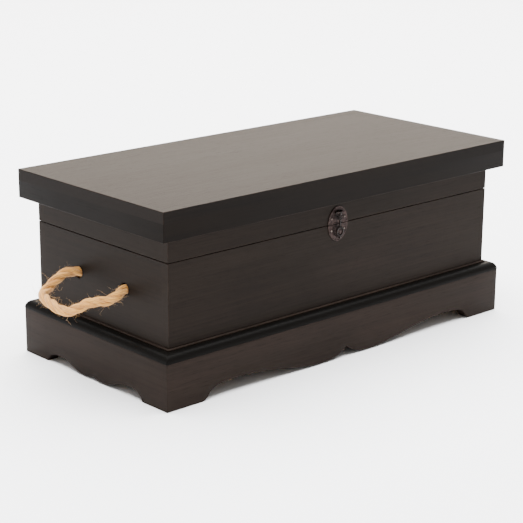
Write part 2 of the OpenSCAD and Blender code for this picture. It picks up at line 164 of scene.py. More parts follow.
# %% [markdown]
# ## Trees that are built by calls
#
# Adding a node by hand takes a line for the node, one for each setting and one for each link. Here one
# method takes a node's type, its settings, which are set first because they can change its sockets, and
# what goes into the sockets: a number, or another node's output. The rest are names for common nodes.

# %% Node trees
class Nodes:
    """A node tree that is built by calls."""

    def __init__(self, tree):
        self.tree = tree

    def node(self, kind, settings=None, sockets=None, output=0):
        made = self.tree.nodes.new(kind)
        for name, value in (settings or {}).items():
            setattr(made, name, value)
        pairs = sockets.items() if isinstance(sockets, dict) else enumerate(sockets or ())
        for name, value in pairs:
            if isinstance(value, Flow):
                self.tree.links.new(value.socket, made.inputs[name])
            else:
                made.inputs[name].default_value = value
        return Flow(self, made.outputs[output]) if len(made.outputs) else made

    def vector(self, operation, *values):
        return self.node("ShaderNodeVectorMath", {"operation": operation}, values)

    def scaled(self, vector, factor):
        return self.node("ShaderNodeVectorMath", {"operation": "SCALE"}, {0: vector, "Scale": factor})

    def xyz(self, x, y, z):
        return self.node("ShaderNodeCombineXYZ", sockets=[x, y, z])

    def mix(self, share, a, b):
        """Colour a, or b where share is 1."""
        return self.node("ShaderNodeMix", {"data_type": "RGBA"}, {0: share, 6: a, 7: b}, 2)

    def noise(self, vector, scale=1.0, detail=2.0, roughness=0.5, distortion=0.0):
        return self.node("ShaderNodeTexNoise", {}, {"Vector": vector, "Scale": scale, "Detail": detail,
                                                    "Roughness": roughness, "Distortion": distortion})

# %% [markdown]
# ## A finish and its colours
#
# A finish is one Principled shader with its maker's settings. Numbers that are the same all over the
# surface go straight on the shader's sockets, and only what changes over the surface is linked.

# %% Finishes
def paint(red, green, blue):
    """A colour given as it looks on a screen, from 0 to 255, made linear for the shader."""
    def straighten(value):
        value = value / 255
        return value / 12.92 if value <= 0.04045 else ((value + 0.055) / 1.055) ** 2.4
    return (straighten(red), straighten(green), straighten(blue), 1)


print("a mid grey on a screen is", round(paint(128, 128, 128)[0], 3), "for the shader")


class Finish(Nodes):
    """A material with one Principled shader, whose settings are written with _ for each space."""

    def __init__(self, name, **settings):
        self.material = bpy.data.materials.new(name)
        self.material.use_nodes = True
        super().__init__(self.material.node_tree)
        self.tree.nodes.clear()
        surface = self.node("ShaderNodeBsdfPrincipled")
        self.node("ShaderNodeOutputMaterial", {}, {"Surface": surface})
        self.shader = surface.socket.node
        for socket, value in settings.items():
            self.shader.inputs[socket.replace("_", " ")].default_value = value

    def give(self, socket, flow):
        self.tree.links.new(flow.socket, self.shader.inputs[socket])

    def emboss(self, height, depth, strength=1.0):
        """Bump from a height of 0 to 1 that stands for depth in metres."""
        bump = self.node("ShaderNodeBump", {}, {"Strength": strength, "Distance": depth, "Height": height})
        self.give("Normal", bump)

    def place(self):
        return self.node("ShaderNodeTexCoord", output="Object")

    def attribute(self, name, output="Fac"):
        return self.node("ShaderNodeAttribute", {"attribute_name": name}, output=output)

# %% [markdown]
# ## Sisal rope: the colour of the fibre
#
# Sisal is a leaf fibre, pale straw with browner strands, and each yarn is a bundle of fine threads. The
# threads follow the yarn round the strand, so the pattern can't lie in space: it is read from two
# attributes that the rope's mesh carries, the distance along the strand and the direction round it.

# %% Sisal finish
def on_strand(finish, around, lengthwise):
    """The place on a strand, made finer round it and along it by two numbers."""
    along = finish.attribute("along") * lengthwise
    ring = finish.scaled(finish.attribute("ring", "Vector"), around)
    return finish.vector("ADD", ring, finish.xyz(0.0, 0.0, along))


def sisal(name, pale, brown):
    finish = Finish(name, Roughness=0.82, Sheen_Weight=0.25, Sheen_Roughness=0.5, Specular_IOR_Level=0.25)
    threads = finish.noise(on_strand(finish, 11.0, 90), detail=4, roughness=0.65)
    patches = finish.noise(on_strand(finish, 0.8, 45), detail=2)
    lines = finish.noise(on_strand(finish, 30.0, 55), detail=3, roughness=0.6)
    shadow = (*(0.35 * value for value in brown[:3]), 1)
    tone = finish.mix((threads + patches * 0.4 - 0.15).above(0.5, 0.12), brown, pale)
    tone = finish.mix(lines.above(0.54) * 0.5, tone, brown)
    tone = finish.mix(finish.attribute("groove") * 0.6, tone, shadow)
    finish.give("Base Color", tone)
    finish.emboss(threads * 0.6 + lines * 0.4, 0.6 * MM)
    return finish.material


sisal_rope = sisal("sisal rope", paint(222, 166, 84), paint(152, 96, 42))
sisal_hair = sisal("sisal hair", paint(220, 176, 114), paint(184, 134, 78))
print("made", sisal_rope.name, "and", sisal_hair.name)

# %% [markdown]
# ## The route of a handle
#
# Each handle is one loop of rope that leaves the end of the chest through a hole, hangs, and goes back in
# through a second hole, with a knot behind each hole so it can't pull out. A handle could be drawn as a
# curve by eye, but the CAD model already holds its route as a list of points, so that list is repeated
# here: distance out from the end, then Y, then Z, in millimetres. It is moved a little only near the
# holes, where the rope leans on the rim, down at the front and up at the back. A Catmull-Rom curve passes
# through every point of such a list, and its points are spaced evenly before the rope is laid on them.

# %% Points of the route
rope_d = 16 * MM
hole_y, hole_z = 57.5 * MM, 157 * MM
loop_points = [
    (8.5, -58.7, 153), (17, -59, 149), (27, -56, 145), (37, -51.5, 143.5), (47, -46.5, 144),
    (57, -40.5, 141.5), (66, -33.5, 136), (73, -24.5, 130.5), (78, -13, 128), (80.5, 0, 129.5),
    (81.5, 13, 132.5), (81, 26, 135), (78.5, 38, 136.5), (73, 48.5, 138), (64.5, 55.5, 140.5),
    (54, 59, 145), (43.5, 60, 151), (33, 59.5, 157), (23, 58.5, 160.5), (15, 57.8, 161), (8.5, 57.5, 159.5),
]
inner_reach, hole_lean = 27 * MM, 1.3 * MM
rope_step = 1.5 * MM
print("route has", len(loop_points), "points outside the case")


# %% Smooth lines
def smooth_through(points, step=rope_step, parts=24):
    """Points a step apart on a Catmull-Rom curve through the given points."""
    points = [Vector(p) for p in points]
    padded = [2 * points[0] - points[1], *points, 2 * points[-1] - points[-2]]
    dense = []
    for a, b, c, d in zip(padded, padded[1:], padded[2:], padded[3:]):
        for t in (i / parts for i in range(parts)):
            dense.append(0.5 * (2 * b + (c - a) * t + (2 * a - 5 * b + 4 * c - d) * t * t
                                + (3 * b - a - 3 * c + d) * t ** 3))
    dense.append(points[-1])
    return even_steps(dense, step)


def even_steps(points, step):
    """The same line with its points a step apart."""
    walked = np.cumsum([0] + [(b - a).length for a, b in zip(points, points[1:])])
    count = max(8, round(walked[-1] / step))
    places = np.linspace(0, walked[-1], count + 1)
    columns = [np.interp(places, walked, [p[i] for p in points]) for i in range(3)]
    return [Vector(p) for p in zip(*columns)]


three_points = [(0, 0, 0), (0.01, 0, 0), (0.02, 0.01, 0)]
print("a bend through three points gets", len(smooth_through(three_points)), "points")


# %% Route of a handle
def handle_route(side):
    """Centre line from behind the front hole round the loop to behind the back hole; side is -1 or 1."""
    def at(out, y, z):
        return (side * (case_face_x + out), y, z)
    front = [at(-inner_reach, -hole_y, hole_z), at(-inner_reach / 2, -hole_y, hole_z),
             at(0, -hole_y, hole_z - hole_lean)]
    loop = [at(out * MM, y * MM, z * MM) for out, y, z in loop_points]
    back = [at(0, hole_y, hole_z + hole_lean), at(-inner_reach / 2, hole_y, hole_z),
            at(-inner_reach, hole_y, hole_z)]
    return smooth_through(front + loop + back)


def length_of(points):
    return sum((b - a).length for a, b in zip(points, points[1:]))


print("handle's rope is", round(length_of(handle_route(-1)), 4), "m long")

# %% [markdown]
# ## Laying a rope with Geometry Nodes
#
# A rope is laid from three strands that wind round each other, and each strand from yarns that wind the
# other way. One tree does this on any centre line: three copies of the line are moved out onto a helix,
# and each becomes a tube whose outline has a lobe for each yarn and turns as it goes along. A twisted
# outline could be faked with bump, but the strands make the rope's silhouette, so they are real here.

# %% Helpers for geometry trees
def tree_with(name, inputs):
    """An empty geometry tree with a geometry output and named inputs, given as (name, kind, value)."""
    tree = bpy.data.node_groups.new(name, "GeometryNodeTree")
    tree.interface.new_socket("Geometry", in_out="INPUT", socket_type="NodeSocketGeometry")
    for label, kind, value in inputs:
        socket = tree.interface.new_socket(label, in_out="INPUT", socket_type="NodeSocket" + kind)
        if value is not None:
            socket.default_value = value
    tree.interface.new_socket("Geometry", in_out="OUTPUT", socket_type="NodeSocketGeometry")
    nodes = Nodes(tree)
    return nodes, nodes.node("NodeGroupInput", output="Geometry")


def close_tree(nodes, geometry, finish):
    real = nodes.node("GeometryNodeRealizeInstances", {}, {"Geometry": geometry})
    clad = nodes.node("GeometryNodeSetMaterial", {}, {"Geometry": real, "Material": finish})
    nodes.node("NodeGroupOutput", {}, {"Geometry": clad})
    return nodes.tree


def keep(nodes, geometry, name, kind, value):
    """Stores a value on the geometry's points under a name."""
    return nodes.node("GeometryNodeStoreNamedAttribute", {"data_type": kind, "domain": "POINT"},
                      {"Geometry": geometry, "Name": name, "Value": value})


def line_object(name, points):
    data = bpy.data.curves.new(name, "CURVE")
    data.dimensions = "3D"
    spline = data.splines.new("POLY")
    spline.points.add(len(points) - 1)
    for point, place in zip(spline.points, points):
        point.co = (*place, 1)
    made = bpy.data.objects.new(name, data)
    bpy.context.scene.collection.objects.link(made)
    return made


def grown(name, start, tree, **inputs):
    """The mesh that a geometry tree makes from an object, as a new object; the start is removed."""
    modifier = start.modifiers.new(tree.name, "NODES")
    modifier.node_group = tree
    for socket in tree.interface.items_tree:
        label = socket.name.replace(" ", "_")
        if socket.in_out == "INPUT" and label in inputs:
            modifier[socket.identifier] = inputs[label]
    evaluated = start.evaluated_get(bpy.context.evaluated_depsgraph_get())
    mesh = bpy.data.meshes.new_from_object(evaluated)
    mesh.name = name
    made = bpy.data.objects.new(name, mesh)
    bpy.context.scene.collection.objects.link(made)
    bpy.data.objects.remove(start)
    print(name, "has", len(mesh.polygons), "faces")
    return made


# %% Rope tree
def rope_tree():
    """Lays a rope on a curve. Its attributes along, ring and groove are there for the finish."""
    nodes, line = tree_with("lay rope", [
        ("Diameter", "Float", rope_d), ("Lay", "Float", 0.062), ("Yarn turns", "Float", 26.0),
        ("Yarns", "Int", 11), ("Yarn depth", "Float", 0.06), ("Finish", "Material", None),
    ])
    diameter, strand_share, copy_step = line.also("Diameter"), 0.262, 0.37
    strand_r = diameter * strand_share
    along = nodes.node("GeometryNodeSplineParameter", output="Length")
    strands = nodes.node("GeometryNodeDuplicateElements", {"domain": "SPLINE"}, {
        "Geometry": line, "Amount": 3})
    copy = strands.also("Duplicate Index")
    level = nodes.node("GeometryNodeSetCurveNormal", {"mode": "Z_UP"}, {"Curve": strands})
    turn = along / line.also("Lay") * math.tau + copy * (math.tau / 3)
    across = nodes.node("GeometryNodeInputNormal")
    up = nodes.vector("CROSS_PRODUCT", nodes.node("GeometryNodeInputTangent"), across)
    out = nodes.vector("ADD", nodes.scaled(across, turn.cos()), nodes.scaled(up, turn.sin()))
    kept = keep(nodes, level, "along", "FLOAT", along + copy * copy_step)
    wound = nodes.node("GeometryNodeSetPosition", {}, {
        "Geometry": kept, "Offset": nodes.scaled(out, diameter * 0.5 - strand_r)})
    wound = nodes.node("GeometryNodeSetCurveNormal", {"mode": "Z_UP"}, {"Curve": wound})
    wound = nodes.node("GeometryNodeSetCurveTilt", {}, {
        "Curve": wound, "Tilt": along * line.also("Yarn turns")})
    outline = strand_outline(nodes, line, strand_r)
    tube = nodes.node("GeometryNodeCurveToMesh", {}, {
        "Curve": wound, "Profile Curve": outline, "Fill Caps": True})
    smooth = nodes.node("GeometryNodeSetShadeSmooth", {}, {"Geometry": tube})
    return close_tree(nodes, smooth, line.also("Finish"))


def strand_outline(nodes, line, strand_r):
    """A circle with a dent between each yarn and the next."""
    circle = nodes.node("GeometryNodeCurvePrimitiveCircle", {}, {"Resolution": 44, "Radius": strand_r})
    angle = nodes.node("GeometryNodeSplineParameter", output="Factor") * math.tau
    yarn = (angle * line.also("Yarns")).cos() * 0.5 + 0.5
    ring = nodes.xyz(angle.cos(), angle.sin(), 0.0)
    outline = keep(nodes, circle, "ring", "FLOAT_VECTOR", ring)
    outline = keep(nodes, outline, "groove", "FLOAT", (1 - yarn) ** 3)
    dent = (1 - yarn) ** 2 * line.also("Yarn depth") * strand_r * -1
    dented = {"Geometry": outline, "Offset": nodes.scaled(ring, dent)}
    return nodes.node("GeometryNodeSetPosition", {}, dented)


lay_rope = rope_tree()
print("rope tree has", len(lay_rope.nodes), "nodes")

# %% [markdown]
# ## Loose hairs
#
# Sisal sheds: short hairs stand off the strands everywhere, and a few long ones curl away. A particle
# system could grow them, but a geometry tree keeps them in the mesh: points are scattered on the rope,
# each takes a straight hair, and noise bends it more towards its tip.

# %% Hair tree
def hair_tree():
    """Scatters hairs on a mesh, but none on rope inside the case, whose faces lie at X = Face."""
    nodes, rope = tree_with("shed hairs", [
        ("Density", "Float", 5e4), ("Shortest", "Float", 2 * MM), ("Longest", "Float", 10 * MM),
        ("Curl", "Float", 0.7), ("Thickness", "Float", 0.09 * MM), ("Face", "Float", 0.0), ("Seed", "Int", 1),
        ("Finish", "Material", None),
    ])
    seed, shortest, longest = rope.also("Seed"), rope.also("Shortest"), rope.also("Longest")
    off_the_case, upright, root, bend_scale, thinned = 2 * MM, 0.7, -0.04, 55.0, 0.6
    x = nodes.node("ShaderNodeSeparateXYZ", {}, [nodes.node("GeometryNodeInputPosition")])
    spots = nodes.node("GeometryNodeDistributePointsOnFaces", {}, {
        "Mesh": rope, "Selection": abs(x) > rope.also("Face") + off_the_case, "Density": rope.also("Density"),
        "Seed": seed})

    def chance(low, high, offset):
        """A random number or vector for each hair."""
        kind, first, output = ("FLOAT_VECTOR", 0, 0) if isinstance(low, tuple) else ("FLOAT", 2, 1)
        return nodes.node("FunctionNodeRandomValue", {"data_type": kind},
                          {first: low, first + 1: high, 8: seed + offset}, output)

    sideways = chance((-1.0,) * 3, (1.0,) * 3, 1)
    facing = nodes.vector("ADD", nodes.scaled(spots.also("Normal"), upright), sideways)
    turn = nodes.node("FunctionNodeAlignRotationToVector", {"axis": "Z"}, {"Vector": facing})
    size = shortest + (longest - shortest) * chance(0.0, 1.0, 2) ** 3.0
    hair = nodes.node("GeometryNodeCurvePrimitiveLine", {}, {"Start": (0, 0, root), "End": (0, 0, 1)})
    hair = nodes.node("GeometryNodeResampleCurve", {}, {"Curve": hair, "Count": 11})
    stuck = nodes.node("GeometryNodeInstanceOnPoints", {}, {
        "Points": spots, "Instance": hair, "Rotation": turn, "Scale": size})
    loose = nodes.node("GeometryNodeRealizeInstances", {}, {"Geometry": stuck})
    tip = nodes.node("GeometryNodeSplineParameter", output="Factor")
    length = nodes.node("GeometryNodeSplineLength", output="Length")
    wind = nodes.node("ShaderNodeTexNoise", {}, {
        "Vector": nodes.node("GeometryNodeInputPosition"), "Scale": bend_scale, "Detail": 1.0}, "Color")
    pull = tip ** 1.6 * length * rope.also("Curl") * 4
    bend = nodes.scaled(nodes.vector("SUBTRACT", wind, (0.5, 0.5, 0.5)), pull)
    bent = nodes.node("GeometryNodeSetPosition", {}, {"Geometry": loose, "Offset": bend})
    bent = keep(nodes, bent, "along", "FLOAT", chance(0.0, 9.0, 3))
    bent = nodes.node("GeometryNodeSetCurveRadius", {}, {"Curve": bent, "Radius": 1 - tip * thinned})
    outline = nodes.node("GeometryNodeCurvePrimitiveCircle", {}, {
        "Resolution": 3, "Radius": rope.also("Thickness")})
    tube = nodes.node("GeometryNodeCurveToMesh", {}, {
        "Curve": bent, "Profile Curve": outline, "Fill Caps": True,
        "Scale": nodes.node("GeometryNodeInputRadius")})
    return close_tree(nodes, tube, rope.also("Finish"))


shed_hairs = hair_tree()
print("hair tree has", len(shed_hairs.nodes), "nodes")


# %% Hairs on a rope
def copy_of(piece, name):
    made = bpy.data.objects.new(name, piece.data.copy())
    bpy.context.scene.collection.objects.link(made)
    return made


def joined(name, *parts):
    """One mesh object from several, all in the first one's finish; the others are removed."""
    for part in parts[1:]:
        part.data.materials.clear()
        part.data.materials.append(parts[0].data.materials[0])
    with bpy.context.temp_override(active_object=parts[0], selected_editable_objects=list(parts)):
        bpy.ops.object.join()
    parts[0].name = name
    return parts[0]


def hairs_on(rope, name, face, seed, density=9e4):
    """Many short hairs and one long hair for every sixty of them."""
    short = grown(name, copy_of(rope, "rope to shed"), shed_hairs, Density=density, Face=face, Seed=seed,
                  Finish=sisal_hair)
    long = grown(name + "_long", copy_of(rope, "rope to shed"), shed_hairs, Density=density / 60, Face=face,
                 Shortest=12 * MM, Longest=24 * MM, Curl=0.9, Thickness=0.14 * MM, Seed=seed + 7,
                 Finish=sisal_hair)
    return joined(name, short, long)

# %% [markdown]
# ## The stopper knots
#
# Behind each hole the rope turns back and winds once and a quarter round itself, which makes a knot too
# fat for the hole. A real knot could be traced strand by strand, but it hides inside the chest, so its
# centre line is only a straight stretch, a widening helix and a tail, laid by the same rope tree.

# %% Knot route
def knot_route(side, y):
    """Centre line of the knot behind the hole at y, from the hole inwards to its tail."""
    wrap_r, first_share, far, pitch = 15 * MM, 0.45, 30 * MM, 22 * MM
    turns, count, first_angle, overshoot = 1.3, 14, math.radians(200), 4 * MM
    places = [(inward * MM, 0, 0) for inward in (2, 14, 24)]
    for share in (i / count for i in range(count + 1)):
        angle = first_angle + share * turns * math.tau
        radius = wrap_r * min(1, first_share + share * 3)
        inward = far - share * pitch + overshoot * max(0, 1 - share * 4)
        places.append((inward, radius * math.cos(angle), radius * math.sin(angle)))
    last = Vector(places[-1])
    places += [tuple(last + Vector(step) * MM) for step in ((1, 8, 8), (4, 14, 20))]
    return smooth_through([(side * (inner_x - inward), y + across, hole_z + up)
                           for inward, across, up in places])


print("rope in one knot is", round(length_of(knot_route(-1, -hole_y)), 4), "m long")

# %% [markdown]
# ## Two handles, four knots
#
# A handle swings and its knots don't, so a handle's rope belongs to two bodies. Cutting it at the hole
# would leave a gap as it swings. It is blended instead: the rope rides on the case at the hole, on the
# handle's own body a short way out, and bends in between. The hairs are blended in the same way.

# %% Rope handles
bend_reach = 26 * MM
for side, hand, seed in ((-1, "left", 11), (1, "right", 23)):
    route = handle_route(side)
    handle = grown(f"{hand}_rope", line_object("route", route), lay_rope, Finish=sisal_rope)
    hairs = hairs_on(handle, f"{hand}_rope_hairs", case_face_x, seed)
    for end, y in (("front", -hole_y), ("back", hole_y)):
        knot_line = line_object("route", knot_route(side, y))
        knot = grown(f"{hand}_{end}_knot", knot_line, lay_rope, Finish=sisal_rope)
        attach(knot, "case")
        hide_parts(f"{hand}_{end}_rope_knot")
    for piece in (handle, hairs):
        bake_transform(piece, "case", f"{hand}_handle", start=(side * case_face_x, 0, hole_z),
                 end=(side * (case_face_x + bend_reach), 0, hole_z))
    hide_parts(f"{hand}_rope_handle")
    side * case_face_x
    route[::3] + [route[-1]]
    print(hand, "handle declared")

# %% [markdown]
# ## Dark stain on straight-grained wood
#
# The chest is stained almost black-brown and sealed with a satin coat, so the grain shows only as faint
# lengthwise streaks, fine pores and slow changes of tone. A picture of wood would repeat and stretch, so
# the grain is noise pulled long in the board's own direction. Each board carries a number that moves its
# pattern along, which keeps the grain from running on from one board into the next. The slab of the lid
# is given a darker stain, and the plinth a lighter one, as painted light that the floor throws up at the
# lowest boards. On every board a value that the stain reads is 1 where the stain is rubbed thin, 0.4 on
# the plinth's bead, which is painted lighter as a highlight, 0 on plain faces and -1 on the plinth's nose
# and quirk, which are painted almost black as shade.

# %% Grain
def board_place(finish, grain):
    """Object coordinates with the grain along X, moved on by the board's own number."""
    number = finish.attribute("board")
    step = finish.xyz(number * 1.7, number * 0.9, number * 1.3)
    turn = {"x": (0, 0, 0), "y": (0, 0, math.pi / 2), "z": (0, math.pi / 2, 0)}[grain]
    turned = finish.node("ShaderNodeMapping", {}, {"Vector": finish.place(), "Rotation": turn})
    return finish.vector("ADD", turned, step)


def pulled(finish, place, along, across):
    return finish.vector("MULTIPLY", place, (along, across, across))


# %% Wood finishes
def stained_wood(name, grain, light, dark):
    finish = Finish(f"{name} {grain}", Roughness=0.4, Specular_IOR_Level=0.025)
    place, wear_and_painted_light = board_place(finish, grain), finish.attribute("wear_and_painted_light")
    streaks = finish.noise(pulled(finish, place, 5, 260), 1, 4, 0.6)
    cloud = finish.noise(pulled(finish, place, 2.2, 9), 1, 3, 0.5, 0.4)
    pores = finish.noise(pulled(finish, place, 45, 1500), 1, 2, 0.5).above(0.66)
    worn_and_painted_highlight = wear_and_painted_light * finish.noise(pulled(finish, place, 30, 60), 1, 3).above(0.5, 0.15)
    figure = streaks * 0.55 + cloud * 0.6 - 0.08
    tone = finish.mix(figure.above(0.5, 0.3), dark, light)
    tone = finish.mix(pores * 0.5, tone, paint(10, 8, 7))
    tone = finish.mix(finish.attribute("end_grain") * 0.08, tone, paint(44, 35, 30))
    # A rubbed edge is lighter from wear; on the plinth's bead the lighter tone is a painted highlight.
    tone = finish.mix(worn_and_painted_highlight * 0.35, tone, paint(52, 42, 36))
    # Where the value is -1, on the plinth's nose and quirk, the tone is pulled almost black as painted shade.
    tone = finish.mix(wear_and_painted_light * -1, tone, paint(9, 8, 7))
    finish.give("Base Color", tone)
    finish.give("Roughness", 0.36 + streaks * 0.1 + pores * 0.15 + cloud * 0.06)
    finish.emboss(streaks * 0.5 + (1 - pores) * 0.5, 0.05 * MM, 0.6)
    return finish.material


def raw_wood(grain):
    finish = Finish("bare wood " + grain, Roughness=0.7, Specular_IOR_Level=0.3)
    place = board_place(finish, grain)
    rings = finish.noise(pulled(finish, place, 1.6, 38), 1, 3, 0.55, 0.6)
    fibres = finish.noise(pulled(finish, place, 20, 900), 1, 3)
    tone = finish.mix(rings.above(0.5, 0.22), paint(206, 178, 138), paint(172, 136, 94))
    tone = finish.mix(fibres.above(0.6, 0.1) * 0.35, tone, paint(140, 106, 72))
    finish.give("Base Color", tone)
    finish.give("Roughness", 0.62 + fibres * 0.2)
    finish.emboss(fibres, 0.08 * MM, 0.6)
    return finish.material


def both_ways(name, light, dark):
    """One stain for boards with their grain along X and for boards with it along Y."""
    return {grain: stained_wood(name, grain, light, dark) for grain in "xy"}


stained = both_ways("stained case wood", paint(31, 25, 21), paint(20, 16, 13))
# The plinth's copy is lighter, as painted light thrown up by the floor; the lid's copy is darker.
plinth_stain_painted_lighter = both_ways("stained plinth wood", paint(37, 30, 26), paint(25, 20, 17))
lid_stained = both_ways("stained lid wood", paint(19, 15, 12), paint(11, 9, 8))
bare = {grain: raw_wood(grain) for grain in "xyz"}
print("made", len(stained) + len(plinth_stain_painted_lighter) + len(lid_stained) + len(bare), "wood finishes")

# %% [markdown]
# ## Boards with eased edges
#
# A sharp wooden edge never survives sanding: the joiner eases it by half a millimetre or so, and that
# narrow strip is what catches the light. Flush joints are not eased, or they would open into grooves. A
# Bevel modifier would round every edge alike, so each board names its own: "-y+z" is the edge where its
# front meets its top. The strip is marked as worn and the cut ends as end grain, for the stain to read.

# %% Eased edges
# 0.4 paints a highlight on the plinth's bead, and -1 paints shade on its nose and quirk.
PLAIN, WORN, PAINTED_HIGHLIGHT, PAINTED_SHADE = 0.0, 1.0, 0.4, -1.0
print("wear runs from", PAINTED_SHADE, "to", WORN)


def marks(bm):
    """The three values that the wood finishes read, kept on face corners."""
    layers = bm.loops.layers.float
    return [layers.get(name) or layers.new(name) for name in ("wear_and_painted_light", "end_grain", "board")]


def ease(bm, edges, width, steps=3):
    """Rounds edges and marks the rounded strips as worn."""
    wear_and_painted_light = marks(bm)[0]
    made = bmesh.ops.bevel(bm, geom=list(edges), offset=width, offset_type="OFFSET", segments=steps,
                           profile=0.5, affect="EDGES", clamp_overlap=True)
    for face in made["faces"]:
        for loop in face.loops:
            loop[wear_and_painted_light] = WORN


# %% [markdown]
# ## From a bmesh to a piece
#
# Every hand-made piece ends in the same way: its mesh gets smooth shading that stops at real edges, a
# finish, the body it moves with and the CAD nodes that it stands for. One
# function does it all, and numbers the pieces in the order they are made, for the grain to read.

# %% Finished pieces
piece_numbers = itertools.count(1)


def finished_piece(name, bm, material, body, nodes=(), grain=None):
    """Turns a bmesh into a piece that rides on a body and stands for CAD nodes."""
    number = next(piece_numbers)
    if grain:
        wear_and_painted_light, end_grain, board = marks(bm)
        axis = "xyz".index(grain)
        for face in bm.faces:
            for loop in face.loops:
                loop[board] = number
                loop[end_grain] = 1.0 if abs(face.normal[axis]) > 0.8 else 0.0
    mesh = bpy.data.meshes.new(name)
    bm.to_mesh(mesh)
    bm.free()
    mesh.shade_smooth()
    mesh.set_sharp_from_angle(angle=math.radians(13))
    mesh.materials.append(material)
    made = bpy.data.objects.new(name, mesh)
    bpy.context.scene.collection.objects.link(made)
    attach(made, body)
    if nodes:
        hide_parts(*nodes)
    print(name, "rides on", body, "with", len(mesh.polygons), "faces")
    return made


# %% [markdown]
# ## Blocks, and cutting into them
#
# A board starts as a cube whose corners are moved to the board's own box, as a sawyer squares a plank.
# Holes and seats are cut with the exact Boolean solver, as modifiers that are applied by evaluating the
# object. Flat faces that it leaves in pieces are dissolved into one again.

# %% Blocks and cuts
def box(low, high):
    bm = bmesh.new()
    bmesh.ops.create_cube(bm, size=1)
    for vert in bm.verts:
        vert.co = Vector(l + (c + 0.5) * (h - l) for l, h, c in zip(low, high, vert.co))
    return bm


def sides_of(point, low, high):
    """The sides of a box that a point lies on, such as -y and +z."""
    found = set()
    for axis, value, l, h in zip("xyz", point, low, high):
        if abs(value - l) < TINY:
            found.add("-" + axis)
        if abs(value - h) < TINY:
            found.add("+" + axis)
    return found


def edges_named(bm, low, high, names):
    """Edges on the named pairs of sides, such as "-y+z"."""
    wanted = [{name[:2], name[2:]} for name in names.split()]
    return [e for e in bm.edges
            if any(w <= sides_of((e.verts[0].co + e.verts[1].co) / 2, low, high) for w in wanted)]


def cut(bm, cutters):
    """Takes the cutters' shapes out of a mesh with exact Booleans."""
    mesh = bpy.data.meshes.new("blank")
    bm.to_mesh(mesh)
    bm.free()
    blank = bpy.data.objects.new("blank", mesh)
    bpy.context.scene.collection.objects.link(blank)
    tools = []
    for cutter in cutters:
        shape = bpy.data.meshes.new("cutter")
        cutter.to_mesh(shape)
        cutter.free()
        tool = bpy.data.objects.new("cutter", shape)
        bpy.context.scene.collection.objects.link(tool)
        modifier = blank.modifiers.new("cut", "BOOLEAN")
        modifier.object, modifier.operation, modifier.solver = tool, "DIFFERENCE", "EXACT"
        tools.append(tool)
    evaluated = blank.evaluated_get(bpy.context.evaluated_depsgraph_get())
    result = bmesh.new()
    result.from_mesh(evaluated.to_mesh())
    for spent in (blank, *tools):
        bpy.data.objects.remove(spent)
    bmesh.ops.dissolve_limit(result, angle_limit=0.001, verts=result.verts, edges=result.edges)
    return result


# %% Boards
rim_ease = 0.9 * MM


def board(node, material, body, slot, grain, eased="", width=0.7 * MM, cutters=(), rims=None):
    """A board of a CAD node's own size; rims picks edges that the cutters made, to be eased too."""
    low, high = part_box(node)
    bm = box(low, high)
    if cutters:
        bm = cut(bm, cutters)
    if eased:
        ease(bm, edges_named(bm, low, high, eased), width)
    if rims:
        ease(bm, [e for e in bm.edges if rims(e)], rim_ease)
    return finished_piece(node + "_wood", bm, material, body, [node], grain)


# %% [markdown]
# ## The case
#
# The long boards run the whole length and cover the ends of the short ones, so their end grain shows as
# a narrow strip at the corners of the end faces. The top edges are eased along the seam with the lid,
# where hands and the lid wear them. Each end board has two round holes with softened rims for the rope.

# %% Rods, holes and hinge seats
def tapered(r_start, r_stop, start, stop, sides=40):
    """A round bar between two points that may narrow along its length."""
    start, stop = Vector(start), Vector(stop)
    bm = bmesh.new()
    turn = (stop - start).to_track_quat("Z", "Y").to_matrix().to_4x4()
    bmesh.ops.create_cone(bm, cap_ends=True, segments=sides, radius1=r_start, radius2=r_stop,
                          depth=(stop - start).length, matrix=Matrix.Translation((start + stop) / 2) @ turn)
    return bm


def rod(radius, start, stop, sides=64):
    return tapered(radius, radius, start, stop, sides)


leaf_low, leaf_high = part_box("right_hinge_case_leaf")
hinge_middle = (leaf_low.x + leaf_high.x) / 2
leaf_t, leaf_in = 1.5 * MM, 13 * MM


def hinge_seats(z_low, z_high):
    """Blocks that sink the hinge leaves into the back board or the back rail."""
    half = (leaf_high.x - leaf_low.x) / 2
    return [box((s * hinge_middle - half, case_face_y - leaf_in, z_low),
                (s * hinge_middle + half, case_face_y + MM, z_high)) for s in (-1, 1)]


hole_r = 9.5 * MM


def rim(edge):
    """True for an edge on the rim of a rope hole."""
    ends = [v.co for v in edge.verts]
    return (all(abs(math.hypot(abs(c.y) - hole_y, c.z - hole_z) - hole_r) < TINY for c in ends)
            and abs(ends[0].x - ends[1].x) < TINY)


# %% Case boards
board("front_panel", stained["x"], "case", "stained_wood", "x", "-y+z -y-x -y+x -x+z +x+z +y+z")
board("back_panel", stained["x"], "case", "stained_wood", "x", "+y+z +y-x +y+x -x+z +x+z -y+z",
      cutters=hinge_seats(case_top - leaf_t, case_top + MM))
for side, hand in ((-1, "left"), (1, "right")):
    drills = [rod(hole_r, (side * (inner_x - MM), y, hole_z), (side * (case_face_x + MM), y, hole_z))
              for y in (-hole_y, hole_y)]
    board(f"{hand}_end_panel", stained["y"], "case", "stained_wood", "y", "-x+z +x+z",
          cutters=drills, rims=rim)

# %% [markdown]
# ## Inside and underneath
#
# The bottom is a thin panel carried by four strips, and a square block stands in each corner of the
# plinth. Nobody sees these at first, so they are left as bare wood, with only a lick of sandpaper.

